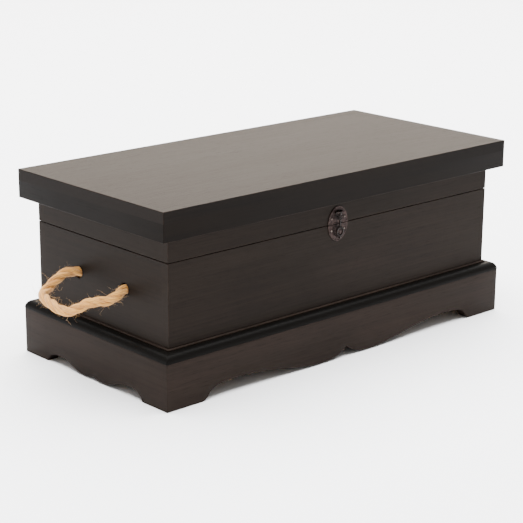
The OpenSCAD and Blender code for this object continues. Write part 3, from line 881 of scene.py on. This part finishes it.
# %% Bottom, cleats and blocks
block_ease = 1.2 * MM
board("bottom_panel", bare["x"], "case", "raw_wood", "x")
cleat_edges = {"x": "-y-z +y-z", "y": "-x-z +x-z"}
for place, grain in (("front", "x"), ("back", "x"), ("left", "y"), ("right", "y")):
    board(f"{place}_cleat", bare[grain], "case", "raw_wood", grain, cleat_edges[grain])
for place in ("front_left", "front_right", "back_left", "back_right"):
    board(f"{place}_foot_block", bare["z"], "case", "raw_wood", "z",
          "-x-z +x-z -y-z +y-z -x-y +x+y -x+y +x-y", block_ease)

# %% [markdown]
# ## Mitred rails
#
# The plinth's aprons and the lid's edge are rails that meet in mitres. Each is one section carried along
# its length, so it could be swept on a curve, but the aprons' lower edge is scalloped and the corners are
# slightly rounded. Here a ring of points is placed at each station along the rail: most points have fixed
# heights, and the lowest follow the scalloped edge and lift with it where that edge is rounded over. Each
# point also carries its value of wear and painted light, for the stain to read.

# %% Rail maker
def arc(centre, radii, start, stop, steps):
    """Points on an ellipse from one angle to another, in degrees."""
    angles = [math.radians(start + (stop - start) * i / steps) for i in range(steps + 1)]
    return [(centre[0] + radii[0] * math.cos(a), centre[1] + radii[1] * math.sin(a)) for a in angles]


def with_normals(line):
    """Adds to each point of a line in X and Z the direction into the wood above it."""
    found = []
    for i, point in enumerate(line):
        before, after = line[max(i - 1, 0)], line[min(i + 1, len(line) - 1)]
        run = Vector((after[0] - before[0], after[1] - before[1])).normalized()
        found.append((point[0], point[1], -run.y, run.x))
    return found


def rail(rows, line, half, face, turn, mitre=1.0, corner=1.4 * MM):
    """A mitred rail from rows of (out, z, lift, wear and painted light); z None marks the lower edge, lifted
    into the wood.
    """
    line = with_normals(line)
    bends, inner_part = [math.radians(a) for a in (0, 15, 30, 45)], 4 * MM
    columns = [[(x + nx * lift, -(face + out), z + nz * lift if height is None else height)
                for out, height, lift, wear_and_painted_light in rows] for x, z, nx, nz in line]
    corner_columns = []
    for bend in bends:
        back, inward = corner * (1 - math.sin(bend)), corner * (1 - math.cos(bend))
        z = line[-1][1]
        corner_columns.append([(half + mitre * out - back, -(face + out - inward * min(1, out / inner_part)),
                                z + lift if height is None else height) for out, height, lift, wear_and_painted_light in rows])
    columns += corner_columns
    columns = [[(-x, y, z) for x, y, z in c] for c in corner_columns[::-1]] + columns
    bm = bmesh.new()
    wear_layer = marks(bm)[0]
    spin = Matrix.Rotation(math.radians(turn), 3, "Z")
    verts = [[bm.verts.new(spin @ Vector(p)) for p in column] for column in columns]
    count = len(rows)
    for left, right in zip(verts, verts[1:]):
        for j in range(count):
            k = (j + 1) % count
            found = bm.faces.new((left[j], right[j], right[k], left[k]))
            for loop in found.loops:
                loop[wear_layer] = rows[j][3] if rows[j][3] == rows[k][3] else PLAIN
    bm.faces.new(verts[0])
    bm.faces.new(verts[-1][::-1])
    bmesh.ops.recalc_face_normals(bm, faces=bm.faces)
    return bm


# %% [markdown]
# ## The scalloped plinth
#
# The plinth's boards are cut along a flowing line: a small point in the middle, a low swell to each side,
# then a long arch up to the foot. A saw follows such a line in a few sweeps, so it is drawn as four cubic
# curves on the long sides and three on the ends. Above the face sit a round nose, a narrow quirk and a
# small bead against the case.

# %% Scalloped edges
def cubic(p, q, r, s, t):
    return (1 - t) ** 3 * p + 3 * (1 - t) ** 2 * t * q + 3 * (1 - t) * t * t * r + t ** 3 * s


def sweep(links, steps=16):
    """Points along cubic curves, each a start, two handles and an end in millimetres, and their mirror."""
    points = []
    for link in links:
        points += [tuple(cubic(*ends, i / steps) * MM for ends in zip(*link)) for i in range(steps)]
    points.append((links[-1][3][0] * MM, links[-1][3][1] * MM))
    return [(-x, z) for x, z in points[:0:-1]] + points


front_edge = sweep([
    ((0, 18), (7, 11), (20, 2), (56, 2)), ((56, 2), (110, 2), (150, 21.5), (232, 22.5)),
    ((232, 22.5), (278, 23), (284, 18), (291, 9)), ((291, 9), (295, 3), (299, 0), (307, 0)),
])
end_edge = sweep([
    ((0, 6), (5, 4.5), (12, 1.8), (23, 1.8)), ((23, 1.8), (48, 1.8), (56, 15.5), (90, 15.5)),
    ((90, 15.5), (107, 15.5), (117, 10), (121, 0)),
])
print("edges have", len(front_edge), "and", len(end_edge), "points")

# %% [markdown]
# ## The plinth's moulding
#
# A router cuts the top of each board to one section: from the face a small step, a big round nose, a
# narrow groove, which is called a quirk, and a bead. The section is drawn with arcs from the inside of
# the lower edge round to the bead, and the rail maker carries it along.

# %% Plinth
plinth_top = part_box("front_apron")[1].z
plinth_t = -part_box("front_apron")[0].y - case_face_y
face_out, lower_ease, seam_ease = plinth_t - 0.4 * MM, 1.3 * MM, 0.8 * MM
nose_in, nose_top, nose_foot = 9.4 * MM, plinth_top - 3 * MM, plinth_top - 16.2 * MM
bead_r, quirk_in, quirk_out, quirk_z = 1.8 * MM, 3.2 * MM, 4.4 * MM, plinth_top - 4 * MM
quirk_r, step_up = 0.4 * MM, 0.3 * MM
inner_flat, mid_heights = 4 * MM, (30 * MM, 55 * MM)


def apron_rows():
    """Section of a plinth board."""
    rows = [(0.0, None, 0.0, PLAIN), (face_out - inner_flat, None, 0.0, PLAIN)]
    rows += [(out, None, lift, WORN)
             for out, lift in arc((face_out - lower_ease, lower_ease), (lower_ease,) * 2, 270, 360, 4)]
    rows += [(face_out, z, 0, PLAIN) for z in mid_heights]
    shoulder = arc((face_out - seam_ease, nose_foot - seam_ease), (seam_ease,) * 2, 0, 90, 4)
    rows += [(out, z, 0, WORN) for out, z in shoulder]
    nose = arc((nose_in, nose_foot), (plinth_t - nose_in, nose_top - nose_foot), 0, 90, 20)
    groove = arc((quirk_out + quirk_r, nose_top - quirk_r), (quirk_r,) * 2, 90, 180, 3)
    # The rows from the foot of the nose to the quirk are painted almost black, as shade.
    shaded_nose_and_quirk = [(face_out - seam_ease + 0.1 * MM, nose_foot + 0.25 * MM),
              (plinth_t - 0.25 * MM, nose_foot + step_up)]
    shaded_nose_and_quirk += nose[1:] + groove + [(quirk_out, quirk_z), (quirk_in + 0.05 * MM, quirk_z)]
    rows += [(out, z, 0, PAINTED_SHADE) for out, z in shaded_nose_and_quirk]
    # The bead is painted lighter, as a highlight.
    bead = arc((bead_r, plinth_top - bead_r), (bead_r,) * 2, -36, 180, 14)
    return rows + [(out, z, 0, PAINTED_HIGHLIGHT) for out, z in bead]


print("section of the plinth has", len(apron_rows()), "points")
for place, edge, half, face, turn, grain in (
    ("front", front_edge, case_face_x, case_face_y, 0, "x"),
    ("back", front_edge, case_face_x, case_face_y, 180, "x"),
    ("left", end_edge, case_face_y, case_face_x, -90, "y"),
    ("right", end_edge, case_face_y, case_face_x, 90, "y"),
):
    finished_piece(f"{place}_apron_wood", rail(apron_rows(), edge, half, face, turn), plinth_stain_painted_lighter[grain],
                   "case", [f"{place}_apron"], grain)

# %% [markdown]
# ## The lid
#
# The lid is a board on a mitred edge, so it looks like one thick slab, with a band below it that carries
# the line of the case. Its top edges and its lower edge, where fingers lift it, are eased alike. The edge
# rails come from the same rail maker as the plinth, with a plain square section and a straight line.

# %% Lid boards
edge_ease = 0.8 * MM
board("lid_top_board", lid_stained["x"], "lid", "stained_wood", "x",
      "-y+z +y+z -x+z +x+z -x-y -x+y +x-y +x+y", edge_ease)
edge_w, end_edge_w = lid_high.y - inner_y, lid_high.x - inner_x


def edge_rows(width, bottom, top):
    """Section of the lid's edge, square with both lower corners eased."""
    inner = arc((edge_ease, bottom + edge_ease), (edge_ease,) * 2, 180, 270, 3)
    outer = arc((width - edge_ease, bottom + edge_ease), (edge_ease,) * 2, 270, 360, 3)
    return [(out, z, 0, WORN) for out, z in inner + outer] + [(width, top, 0, PLAIN), (0, top, 0, PLAIN)]


for place, half, face, width, other, turn, grain in (
    ("front", inner_x, inner_y, edge_w, end_edge_w, 0, "x"),
    ("back", inner_x, inner_y, edge_w, end_edge_w, 180, "x"),
    ("left", inner_y, inner_x, end_edge_w, edge_w, -90, "y"),
    ("right", inner_y, inner_x, end_edge_w, edge_w, 90, "y"),
):
    line = [(x, band_top) for x in (-half * 0.5, 0.0, half * 0.5)]
    shape = rail(edge_rows(width, band_top, lid_low.z), line, half, face, turn, other / width, edge_ease)
    finished_piece(f"lid_{place}_edge_wood", shape, lid_stained[grain], "lid",
                   [f"lid_{place}_edge"], grain)

board("lid_front_rail", stained["x"], "lid", "stained_wood", "x", "-y-z -y-x -y+x -x-z +x-z +y-z")
board("lid_back_rail", stained["x"], "lid", "stained_wood", "x", "+y-z +y-x +y+x -x-z +x-z -y-z",
      cutters=hinge_seats(band_low - MM, band_low + leaf_t))
for hand in ("left", "right"):
    board(f"lid_{hand}_rail", stained["y"], "lid", "stained_wood", "y", "-x-z +x-z")

# %% [markdown]
# ## Metal finishes
#
# The latch is cast and dipped in a brown patina, which is thin on the high spots that hands rub. The
# hinges are plain brass gone dull, the screws and pins are bright steel, and the latch's nails are steel
# that has darkened. All are one idea with different settings: a metal, blotches of tarnish that are also
# rougher, and rubbed edges that are read from the value of wear that eased edges carry.

# %% Metals
def metal(name, clean, tarnished, rubbed, roughness, blotch=220):
    finish = Finish(name, Metallic=1.0)
    place = finish.place()
    blotches = finish.noise(place, blotch, 4, 0.6).above(0.5, 0.16)
    grit = finish.noise(place, blotch * 9, 2, 0.5)
    tone = finish.mix(blotches, clean, tarnished)
    tone = finish.mix(finish.attribute("wear_and_painted_light") * (0.35 + grit * 0.4), tone, rubbed)
    finish.give("Base Color", tone)
    finish.give("Roughness", roughness + blotches * 0.16 + grit * 0.1)
    finish.emboss(grit * 0.6 + blotches * 0.4, 0.06 * MM, 0.5)
    return finish.material


antique_bronze = metal("antique bronze", paint(50, 40, 38), paint(31, 24, 23), paint(74, 62, 57), 0.42)
cast_bronze = metal("dark cast bronze", paint(20, 13, 11), paint(11, 8, 7), paint(120, 108, 100), 0.3, 300)
dark_nail = metal("darkened nail steel", paint(92, 84, 78), paint(60, 54, 50), paint(150, 142, 134), 0.34,
                  150)
hinge_brass = metal("dull brass", paint(150, 122, 76), paint(104, 82, 50), paint(196, 168, 112), 0.34, 120)
steel = metal("bright steel", paint(176, 176, 172), paint(128, 126, 122), paint(214, 214, 210), 0.24, 150)
print("made", antique_bronze.name, cast_bronze.name, dark_nail.name, hinge_brass.name, steel.name)

# %% [markdown]
# ## The latch plates
#
# The latch is one oval plate cut in two at the seam, so the upper half lifts with the lid. Stamped plate
# has a softened rim and a face that dips a little inside a border. A Bevel and an Inset on so many-sided
# a face can fold over themselves, so each half is built as rings of its own outline: up the edge, round
# the rim, across the border and down to the dipped face.

# %% Helpers for metal parts
def merged(*shapes):
    """One bmesh from several, which are used up."""
    whole = bmesh.new()
    marks(whole)
    for shape in shapes:
        marks(shape)
        mesh = bpy.data.meshes.new("part")
        shape.to_mesh(mesh)
        shape.free()
        whole.from_mesh(mesh)
        bpy.data.meshes.remove(mesh)
    return whole


def round_all(bm, width, steps=2, angle=40):
    """Eases every edge of a shape that is sharper than an angle."""
    sharp = [e for e in bm.edges if len(e.link_faces) == 2 and e.calc_face_angle() > math.radians(angle)]
    ease(bm, sharp, width, steps)
    return bm


# %% Latch plates
seam_z = (case_top + band_low) / 2
latch_low, latch_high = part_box("latch_lower_plate")[0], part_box("latch_upper_plate")[1]
latch_x, latch_half_w = (latch_low.x + latch_high.x) / 2, (latch_high.x - latch_low.x) / 2
latch_half_h = seam_z - latch_low.z
plate_t = 1.6 * MM
latch_face = -case_face_y - plate_t
rim_r, border, dip, dip_slope = 0.45 * MM, 1.8 * MM, 0.35 * MM, 0.5 * MM
tip_shape = 0.25
print("latch is", round(2 * latch_half_w, 4), "m wide and", round(2 * latch_half_h, 4), "m high")


def oval(side, seam, inset, steps=44):
    """Outline in X and Z of half the oval, set in from its edge; the lower half has a slight tip."""
    half_w, half_h = latch_half_w - inset, latch_half_h - inset
    first = math.asin(((seam - seam_z) * side + inset) / half_h)
    points = []
    for i in range(steps + 1):
        a = first + (math.pi - 2 * first) * i / steps
        tip = 1.0 if side > 0 else 1.0 + tip_shape * math.sin(a) ** 2
        across = math.copysign(abs(math.cos(a)) ** tip, math.cos(a))
        points.append((latch_x + half_w * across, seam_z + side * half_h * math.sin(a)))
    return points


def half_plate(side, seam):
    """A plate from rings of its outline, each given as (inset, Y, wear)."""
    rings = [(0, -case_face_y, PLAIN)]
    for a in (math.radians(30 * i) for i in range(4)):
        rings.append((rim_r * (1 - math.cos(a)), latch_face + rim_r * (1 - math.sin(a)), WORN))
    rings += [(border, latch_face, PLAIN), (border + dip_slope, latch_face + dip, PLAIN)]
    bm = bmesh.new()
    wear_layer = marks(bm)[0]
    loops = [[bm.verts.new((x, y, z)) for x, z in oval(side, seam, inset)] for inset, y, wear_and_painted_light in rings]
    count = len(loops[0])
    for i, (outer, inner) in enumerate(zip(loops, loops[1:])):
        for j in range(count):
            k = (j + 1) % count
            face = bm.faces.new((outer[j], outer[k], inner[k], inner[j]))
            for loop in face.loops:
                loop[wear_layer] = min(rings[i][2], rings[i + 1][2])
    bm.faces.new(loops[0])
    bm.faces.new(loops[-1])
    bmesh.ops.recalc_face_normals(bm, faces=bm.faces)
    return bm


# %% [markdown]
# ## What stands on the plates
#
# A short round catch on the lower plate holds the ring of the hasp, and two lugs on the upper plate hold
# the pin that the hasp turns on. They are rods and blocks that sink a little into the plate, as parts
# that are cast on or brazed do.

# %% Catch, lugs and pin
pin_low, pin_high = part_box("latch_pin")
pin_y, pin_z = (pin_low.y + pin_high.y) / 2, (pin_low.z + pin_high.z) / 2
ring_z = seam_z - 12 * MM
catch_foot_r, catch_tip_r, catch_out = 3 * MM, 2.2 * MM, 2.4 * MM
lug_r, lug_in, lug_out = 2.2 * MM, 4 * MM, 6 * MM
catch = round_all(tapered(catch_foot_r, catch_tip_r, (latch_x, latch_face, ring_z),
                          (latch_x, latch_face - catch_out, ring_z)), 0.4 * MM)
finished_piece("latch_plate_on_case", merged(half_plate(-1, case_top), catch), antique_bronze, "case",
               ["latch_lower_plate"])
lugs = []
for s in (-1, 1):
    near, far = latch_x + s * lug_in, latch_x + s * lug_out
    lugs.append(round_all(rod(lug_r, (near, pin_y, pin_z), (far, pin_y, pin_z), 32), 0.3 * MM))
    lugs.append(box((min(near, far), pin_y, pin_z - lug_r), (max(near, far), latch_face + MM, pin_z + lug_r)))
finished_piece("latch_plate_on_lid", merged(half_plate(1, band_low), *lugs), antique_bronze, "lid",
               ["latch_upper_plate"])
pin_bar = rod(MM, (pin_low.x, pin_y, pin_z), (pin_high.x, pin_y, pin_z), 32)
finished_piece("latch_pin_bar", round_all(pin_bar, 0.2 * MM), steel, "lid", ["latch_pin"])

# %% [markdown]
# ## The hasp
#
# The hasp is cast: a scrolled head on the pin, a narrow neck across the seam, and a ring that drops over
# the catch. Casting leaves no sharp edge, so it is put together from round shapes pressed flat towards
# the plate, which meet inside each other as the cast metal does.

# %% Cast shapes
def flattened(bm, middle, depth):
    """Presses a shape towards the plane Y = middle, leaving it depth thick."""
    thick = max(v.co.y for v in bm.verts) - min(v.co.y for v in bm.verts)
    for vert in bm.verts:
        vert.co.y = middle + (vert.co.y - middle) * depth / thick
    return bm


def ball(radius, place):
    bm = bmesh.new()
    bmesh.ops.create_icosphere(bm, subdivisions=4, radius=radius, matrix=Matrix.Translation(place))
    return bm


def hoop(major, minor, place, count=56, sides=16):
    """A ring round the Y direction."""
    bm = bmesh.new()
    loops = []
    for a in (math.tau * i / count for i in range(count)):
        loops.append([])
        for b in (math.tau * j / sides for j in range(sides)):
            reach = major + minor * math.cos(b)
            spot = Vector(place) + Vector((reach * math.cos(a), minor * math.sin(b), reach * math.sin(a)))
            loops[-1].append(bm.verts.new(spot))
    for a, b in zip(loops, loops[1:] + loops[:1]):
        for j in range(sides):
            bm.faces.new((a[j], b[j], b[(j + 1) % sides], a[(j + 1) % sides]))
    bmesh.ops.recalc_face_normals(bm, faces=bm.faces)
    return bm


# %% Hasp
hasp_t = 1.8 * MM
hasp_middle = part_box("latch_hasp")[0].y + hasp_t / 2
head_z = pin_z - 9 * MM
barrel, head_ball, head_ring, neck_foot, foot_ball = 3.6 * MM, 4.6 * MM, 3.6 * MM, 6 * MM, 9.6 * MM
ring_major, ring_minor = 6.7 * MM, 2.3 * MM


def on_hasp(across, z):
    return (latch_x + across * MM, hasp_middle, z)


def cast(bm, thicker=1.0):
    return flattened(bm, hasp_middle, hasp_t * thicker)


hasp_parts = [
    round_all(rod(lug_r, (latch_x - barrel, pin_y, pin_z), (latch_x + barrel, pin_y, pin_z), 40), 0.3 * MM),
    cast(rod(3.2 * MM, on_hasp(0, pin_z), on_hasp(0, head_z), 32)),
    cast(ball(head_ball, on_hasp(0, head_z)), 1.1),
    hoop(head_ring, 1.05 * MM, on_hasp(0, head_z)),
    cast(tapered(2.5 * MM, 1.9 * MM, on_hasp(0, head_z), on_hasp(0, ring_z + neck_foot))),
    cast(hoop(ring_major, ring_minor, on_hasp(0, ring_z))),
    cast(ball(2.6 * MM, on_hasp(0, ring_z - foot_ball)), 1.2),
]
for s in (-1, 1):
    hasp_parts.append(ball(1.15 * MM, on_hasp(s * 4.5, head_z + 2.4 * MM)))
    hasp_parts.append(ball(0.95 * MM, on_hasp(s * 2.6, ring_z + 8.6 * MM)))
finished_piece("hasp_casting", merged(*hasp_parts), cast_bronze, "hasp", ["latch_hasp"])

# %% [markdown]
# ## The hinges
#
# Two butt hinges sit in the seam at the back: a leaf let into the back board, another into the back rail,
# and knuckles that wrap one steel pin. Behind the barrel each leaf has a heel, and the heels meet when
# the lid stands a little past upright, so it stops there. Bars and rods are enough to make them.

# %% Helpers for hinges
hinge_half, third_gap = 25 * MM, 0.4 * MM
barrel_r, pin_r, pin_head_r = 3 * MM, 1.4 * MM, 2.2 * MM
hinge_y = case_face_y + barrel_r + 0.5 * MM
screw_apart, leaf_y = 17 * MM, case_face_y - leaf_in / 2
knuckle = (2 * hinge_half - 2 * third_gap) / 3
leaf_ease, heel_t, heel_lean = 0.15 * MM, 1.6 * MM, 50


def knuckle_at(middle, k):
    """The barrel's left, middle or right third, where k is -1, 0 or 1."""
    centre = middle + k * (knuckle + third_gap)
    start, stop = (centre - knuckle / 2, hinge_y, seam_z), (centre + knuckle / 2, hinge_y, seam_z)
    return round_all(rod(barrel_r, start, stop, 48), 0.25 * MM)


def tongue(middle, k, low, high):
    """The strip that joins a leaf to one of its knuckles."""
    centre, half = middle + k * (knuckle + third_gap), knuckle / 2 - 0.2 * MM
    strip = box((centre - half, case_face_y - 0.5 * MM, low), (centre + half, hinge_y, high))
    return round_all(strip, leaf_ease)


def heel(x_low, x_high, inner, lower, upper, degrees, outer=10 * MM):
    """A bar behind the barrel, turned about the hinge's axis."""
    bm = box((x_low, inner, lower), (x_high, outer, upper))
    turn = Matrix.Rotation(math.radians(degrees), 3, "X")
    for vert in bm.verts:
        vert.co = turn @ vert.co + Vector((0, hinge_y, seam_z))
    return round_all(bm, 0.2 * MM)


def leaf(middle, z_low, z_high, face_z, up):
    """A leaf's plate with two countersunk holes in the face at face_z; up is 1 where that face looks up."""
    blank = box((middle - hinge_half, case_face_y - leaf_in, z_low),
                (middle + hinge_half, case_face_y, z_high))
    deep, proud = face_z - up * (leaf_t + 0.05 * MM), face_z + up * 0.1 * MM
    cones = [tapered(1.7 * MM, 3.35 * MM, (x, leaf_y, deep), (x, leaf_y, proud), 32)
             for x in (middle - screw_apart, middle + screw_apart)]
    return round_all(cut(blank, cones), leaf_ease)


print("hinges are", round(2 * hinge_half, 4), "m long, with pins at Y", round(hinge_y, 4))

# %% Hinges
for side, hand in ((-1, "left"), (1, "right")):
    middle = side * hinge_middle
    heel_half, notch = hinge_half - 0.5 * MM, knuckle / 2 + third_gap + 0.2 * MM
    shapes = [leaf(middle, case_top - leaf_t, case_top, case_top, 1),
              heel(middle - heel_half, middle + heel_half, 3.6 * MM, -heel_t, 0, -heel_lean)]
    for s in (-1, 1):
        shapes += [knuckle_at(middle, s), tongue(middle, s, case_top - leaf_t, case_top)]
        ends = sorted((middle + s * notch, middle + s * heel_half))
        shapes.append(heel(*ends, 2 * MM, -heel_t, 0, -heel_lean, 4 * MM))
    finished_piece(f"{hand}_hinge_leaf_on_case", merged(*shapes), hinge_brass, "case",
                   [f"{hand}_hinge_case_leaf"])

    heel_half = knuckle / 2 - 0.5 * MM
    shapes = [leaf(middle, band_low, band_low + leaf_t, band_low, -1), knuckle_at(middle, 0),
              tongue(middle, 0, band_low, band_low + leaf_t),
              heel(middle - heel_half, middle + heel_half, 2 * MM, 0, heel_t, heel_lean)]
    finished_piece(f"{hand}_hinge_leaf_on_lid", merged(*shapes), hinge_brass, "lid",
                   [f"{hand}_hinge_lid_leaf"])

    bars = [rod(pin_r, (middle - hinge_half, hinge_y, seam_z), (middle + hinge_half, hinge_y, seam_z), 32)]
    for s in (-1, 1):
        head = rod(pin_head_r, (middle + s * hinge_half, hinge_y, seam_z),
                   (middle + s * (hinge_half + MM), hinge_y, seam_z), 32)
        bars.append(round_all(head, 0.35 * MM, 3))
    finished_piece(f"{hand}_hinge_pin_bar", merged(*bars), steel, "case", [f"{hand}_hinge_pin"])

# %% [markdown]
# ## Screws and nails with Geometry Nodes
#
# Screws come in rows, all alike, so one tree makes a screw from its sizes and stands a copy of it on each
# point of a mesh, aimed by a vector kept on that point. The head's cross slot is cut out once, before it
# is copied. Nails come from the same tree with a raised head and a slot of no width, for which a Switch
# picks the head that wasn't cut.

# %% Fastener tree
def fastener_tree():
    nodes, points = tree_with("drive fasteners", [
        ("Shank", "Float", 1.75 * MM), ("Head", "Float", 3.5 * MM), ("Rim", "Float", 3.5 * MM),
        ("Head height", "Float", 2 * MM), ("Rise", "Float", 0.0), ("Length", "Float", 24 * MM),
        ("Slot", "Float", 0.9 * MM), ("Finish", "Material", None),
    ])
    shank, head, height = points.also("Shank"), points.also("Head"), points.also("Head height")
    rise, slot = points.also("Rise"), points.also("Slot")

    def moved(shape, z):
        shift = nodes.xyz(0.0, 0.0, z)
        return nodes.node("GeometryNodeTransform", {}, {"Geometry": shape, "Translation": shift})

    def cone(top, bottom, depth, low):
        shape = nodes.node("GeometryNodeMeshCone", {}, {
            "Vertices": 32, "Radius Top": top, "Radius Bottom": bottom, "Depth": depth})
        return moved(shape, low)

    crown = cone(points.also("Rim"), head, height, rise - height)
    bars = []
    for wide, deep in ((head * 1.1, slot), (slot, head * 1.1)):
        bar = nodes.node("GeometryNodeMeshCube", {}, {"Size": nodes.xyz(wide, deep, slot * 2.4)})
        bars.append(moved(bar, rise))
    cutter = nodes.node("GeometryNodeMeshBoolean", {"operation": "DIFFERENCE", "solver": "EXACT"},
                        {"Mesh 1": crown})
    for bar in bars:
        nodes.tree.links.new(bar.socket, cutter.socket.node.inputs["Mesh 2"])
    slotted = nodes.node("GeometryNodeSwitch", {"input_type": "GEOMETRY"}, {
        "Switch": slot > 0.0, "False": crown, "True": cutter})
    length = points.also("Length")
    stem = cone(shank, shank, length * 0.8 - height * 0.5, length * -0.8)
    tip = cone(shank, 0.2 * MM, length * 0.2, length * -1.0)
    whole = nodes.node("GeometryNodeJoinGeometry")
    for part in (slotted, stem, tip):
        nodes.tree.links.new(part.socket, whole.socket.node.inputs[0])
    aim = nodes.node("GeometryNodeInputNamedAttribute", {"data_type": "FLOAT_VECTOR"}, {"Name": "aim"})
    turn = nodes.node("FunctionNodeAlignRotationToVector", {"axis": "Z"}, {"Vector": aim})
    driven = nodes.node("GeometryNodeInstanceOnPoints", {}, {
        "Points": points, "Instance": whole, "Rotation": turn})
    return close_tree(nodes, driven, points.also("Finish"))


drive_fasteners = fastener_tree()
print("fastener tree has", len(drive_fasteners.nodes), "nodes")


# %% Driving a row
def drive(name, places, body, node, finish, slot_name, **sizes):
    """Fasteners at places given as (point, outward direction)."""
    mesh = bpy.data.meshes.new("marks")
    mesh.from_pydata([place for place, aim in places], [], [])
    aims = mesh.attributes.new("aim", "FLOAT_VECTOR", "POINT")
    for i, (place, aim) in enumerate(places):
        aims.data[i].vector = aim
    start = bpy.data.objects.new("marks", mesh)
    bpy.context.scene.collection.objects.link(start)
    made = grown(name, start, drive_fasteners, Finish=finish, **sizes)
    made.data.shade_smooth()
    made.data.set_sharp_from_angle(angle=math.radians(30))
    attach(made, body)
    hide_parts(node)
    return made


# %% [markdown]
# ## Where the screws and nails go
#
# Two screws hold each hinge leaf, fourteen hold the cleats to the boards, twelve go up through the edge
# rails into the top board, and two nails pin each half of the latch. Their places are worked out from the
# boards they join, and their heads face the side they were driven from.

# %% Screws and nails
UP, DOWN = (0, 0, 1), (0, 0, -1)
both = (-1, 1)
cleat_low, cleat_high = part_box("front_cleat")
cleat_z, cleat_w = (cleat_low.z + cleat_high.z) / 2, 14 * MM
leaf_spots = [(s * hinge_middle + i * screw_apart, leaf_y) for s in both for i in both]
leaf_screw = dict(Shank=1.75 * MM, Head=1.75 * MM, Rim=3.2 * MM, Head_height=leaf_t, Length=14 * MM)
drive("hinge_screws_in_case", [((x, y, case_top), UP) for x, y in leaf_spots], "case", "hinge_case_screws",
      steel, "steel", **leaf_screw)
drive("hinge_screws_in_lid", [((x, y, band_low), DOWN) for x, y in leaf_spots], "lid", "hinge_lid_screws",
      steel, "steel", **leaf_screw)
cleat_spots = [((k * inner_x * 0.42, s * (inner_y - cleat_w), cleat_z), (0, -s, 0))
               for k in range(-2, 3) for s in both]
cleat_spots += [((s * (inner_x - cleat_w), t * inner_y * 0.55, cleat_z), (-s, 0, 0))
                for s in both for t in both]
drive("screws_in_cleats", cleat_spots, "case", "cleat_screws", steel, "steel",
      Shank=1.75 * MM, Head=1.75 * MM, Rim=3.5 * MM, Head_height=2 * MM, Length=24 * MM, Rise=0.1 * MM)
screw_in = 8 * MM
edge_spots = [(s * inner_x * k, t * (lid_high.y - screw_in))
              for s in both for k in (0.25, 0.75) for t in both]
edge_spots += [(s * (lid_high.x - screw_in), t * inner_y * 0.5) for s in both for t in both]
drive("screws_up_into_lid", [((x, y, band_top), DOWN) for x, y in edge_spots], "lid", "lid_screws", steel,
      "steel", Shank=2 * MM, Head=2 * MM, Rim=4 * MM, Head_height=2.4 * MM, Length=40 * MM)
nail_out, nail_up = latch_half_w * 0.66, 10 * MM
nail = dict(Shank=0.8 * MM, Head=1.7 * MM, Rim=0.9 * MM, Head_height=0.8 * MM, Rise=0.8 * MM, Length=9 * MM,
            Slot=0.0)
for name, z, body, node in (("nails_in_lower_plate", seam_z - nail_up, "case", "latch_lower_nails"),
                            ("nails_in_upper_plate", seam_z + nail_up, "lid", "latch_upper_nails")):
    drive(name, [((latch_x + s * nail_out, latch_face, z), (0, -1, 0)) for s in both], body, node, dark_nail,
          "steel", **nail)

# %% [markdown]
# ## Floor and light
#
# The chest stands on a plain pale floor. A wide, high light floods the floor, which throws soft light back
# up at the boards, so they grow lighter towards the ground. A warm panel far behind is what the satin top
# mirrors, and a small light from the left shapes the rope.

# %% Floor and surroundings
floor_half = 12
floor = bpy.data.meshes.new("floor")
corners = [(x * floor_half, y * floor_half, 0) for x, y in ((-1, -1), (1, -1), (1, 1), (-1, 1))]
floor.from_pydata(corners, [], [(0, 1, 2, 3)])
ground = bpy.data.objects.new("floor", floor)
bpy.context.scene.collection.objects.link(ground)
floor.materials.append(Finish("pale floor", Roughness=0.9, Base_Color=(0.86, 0.87, 0.89, 1)).material)
world = bpy.data.worlds.new("studio")
world.use_nodes = True
surroundings = world.node_tree.nodes["Background"].inputs
surroundings["Color"].default_value = (1, 0.95, 0.9, 1)
surroundings["Strength"].default_value = 0.75
bpy.context.scene.world = world
print("floor is", 2 * floor_half, "m across")


# %% Lights
def soft_light(name, place, aim, width, height, power, colour=(1, 1, 1)):
    """A rectangle of light that faces a point."""
    data = bpy.data.lights.new(name, "AREA")
    data.shape, data.size, data.size_y, data.energy, data.color = "RECTANGLE", width, height, power, colour
    light = bpy.data.objects.new(name, data)
    bpy.context.scene.collection.objects.link(light)
    light.location = place
    light.rotation_mode = "QUATERNION"
    light.rotation_quaternion = (Vector(place) - Vector(aim)).to_track_quat("Z", "Y")
    print(name, "of", power, "W at", place)


warm = (1, 0.86, 0.72)
soft_light("ceiling", (1.5, 1.5, 6.0), (1.5, 1.5, 0), 10.0, 10.0, 4400)
soft_light("warm panel", (6.4, 6.9, 3.4), (0, 0, 0.3), 9.0, 3.4, 760, warm)
soft_light("left key", (-2.6, 1.4, 0.9), (0, 0, 0.15), 1.2, 1.2, 7)
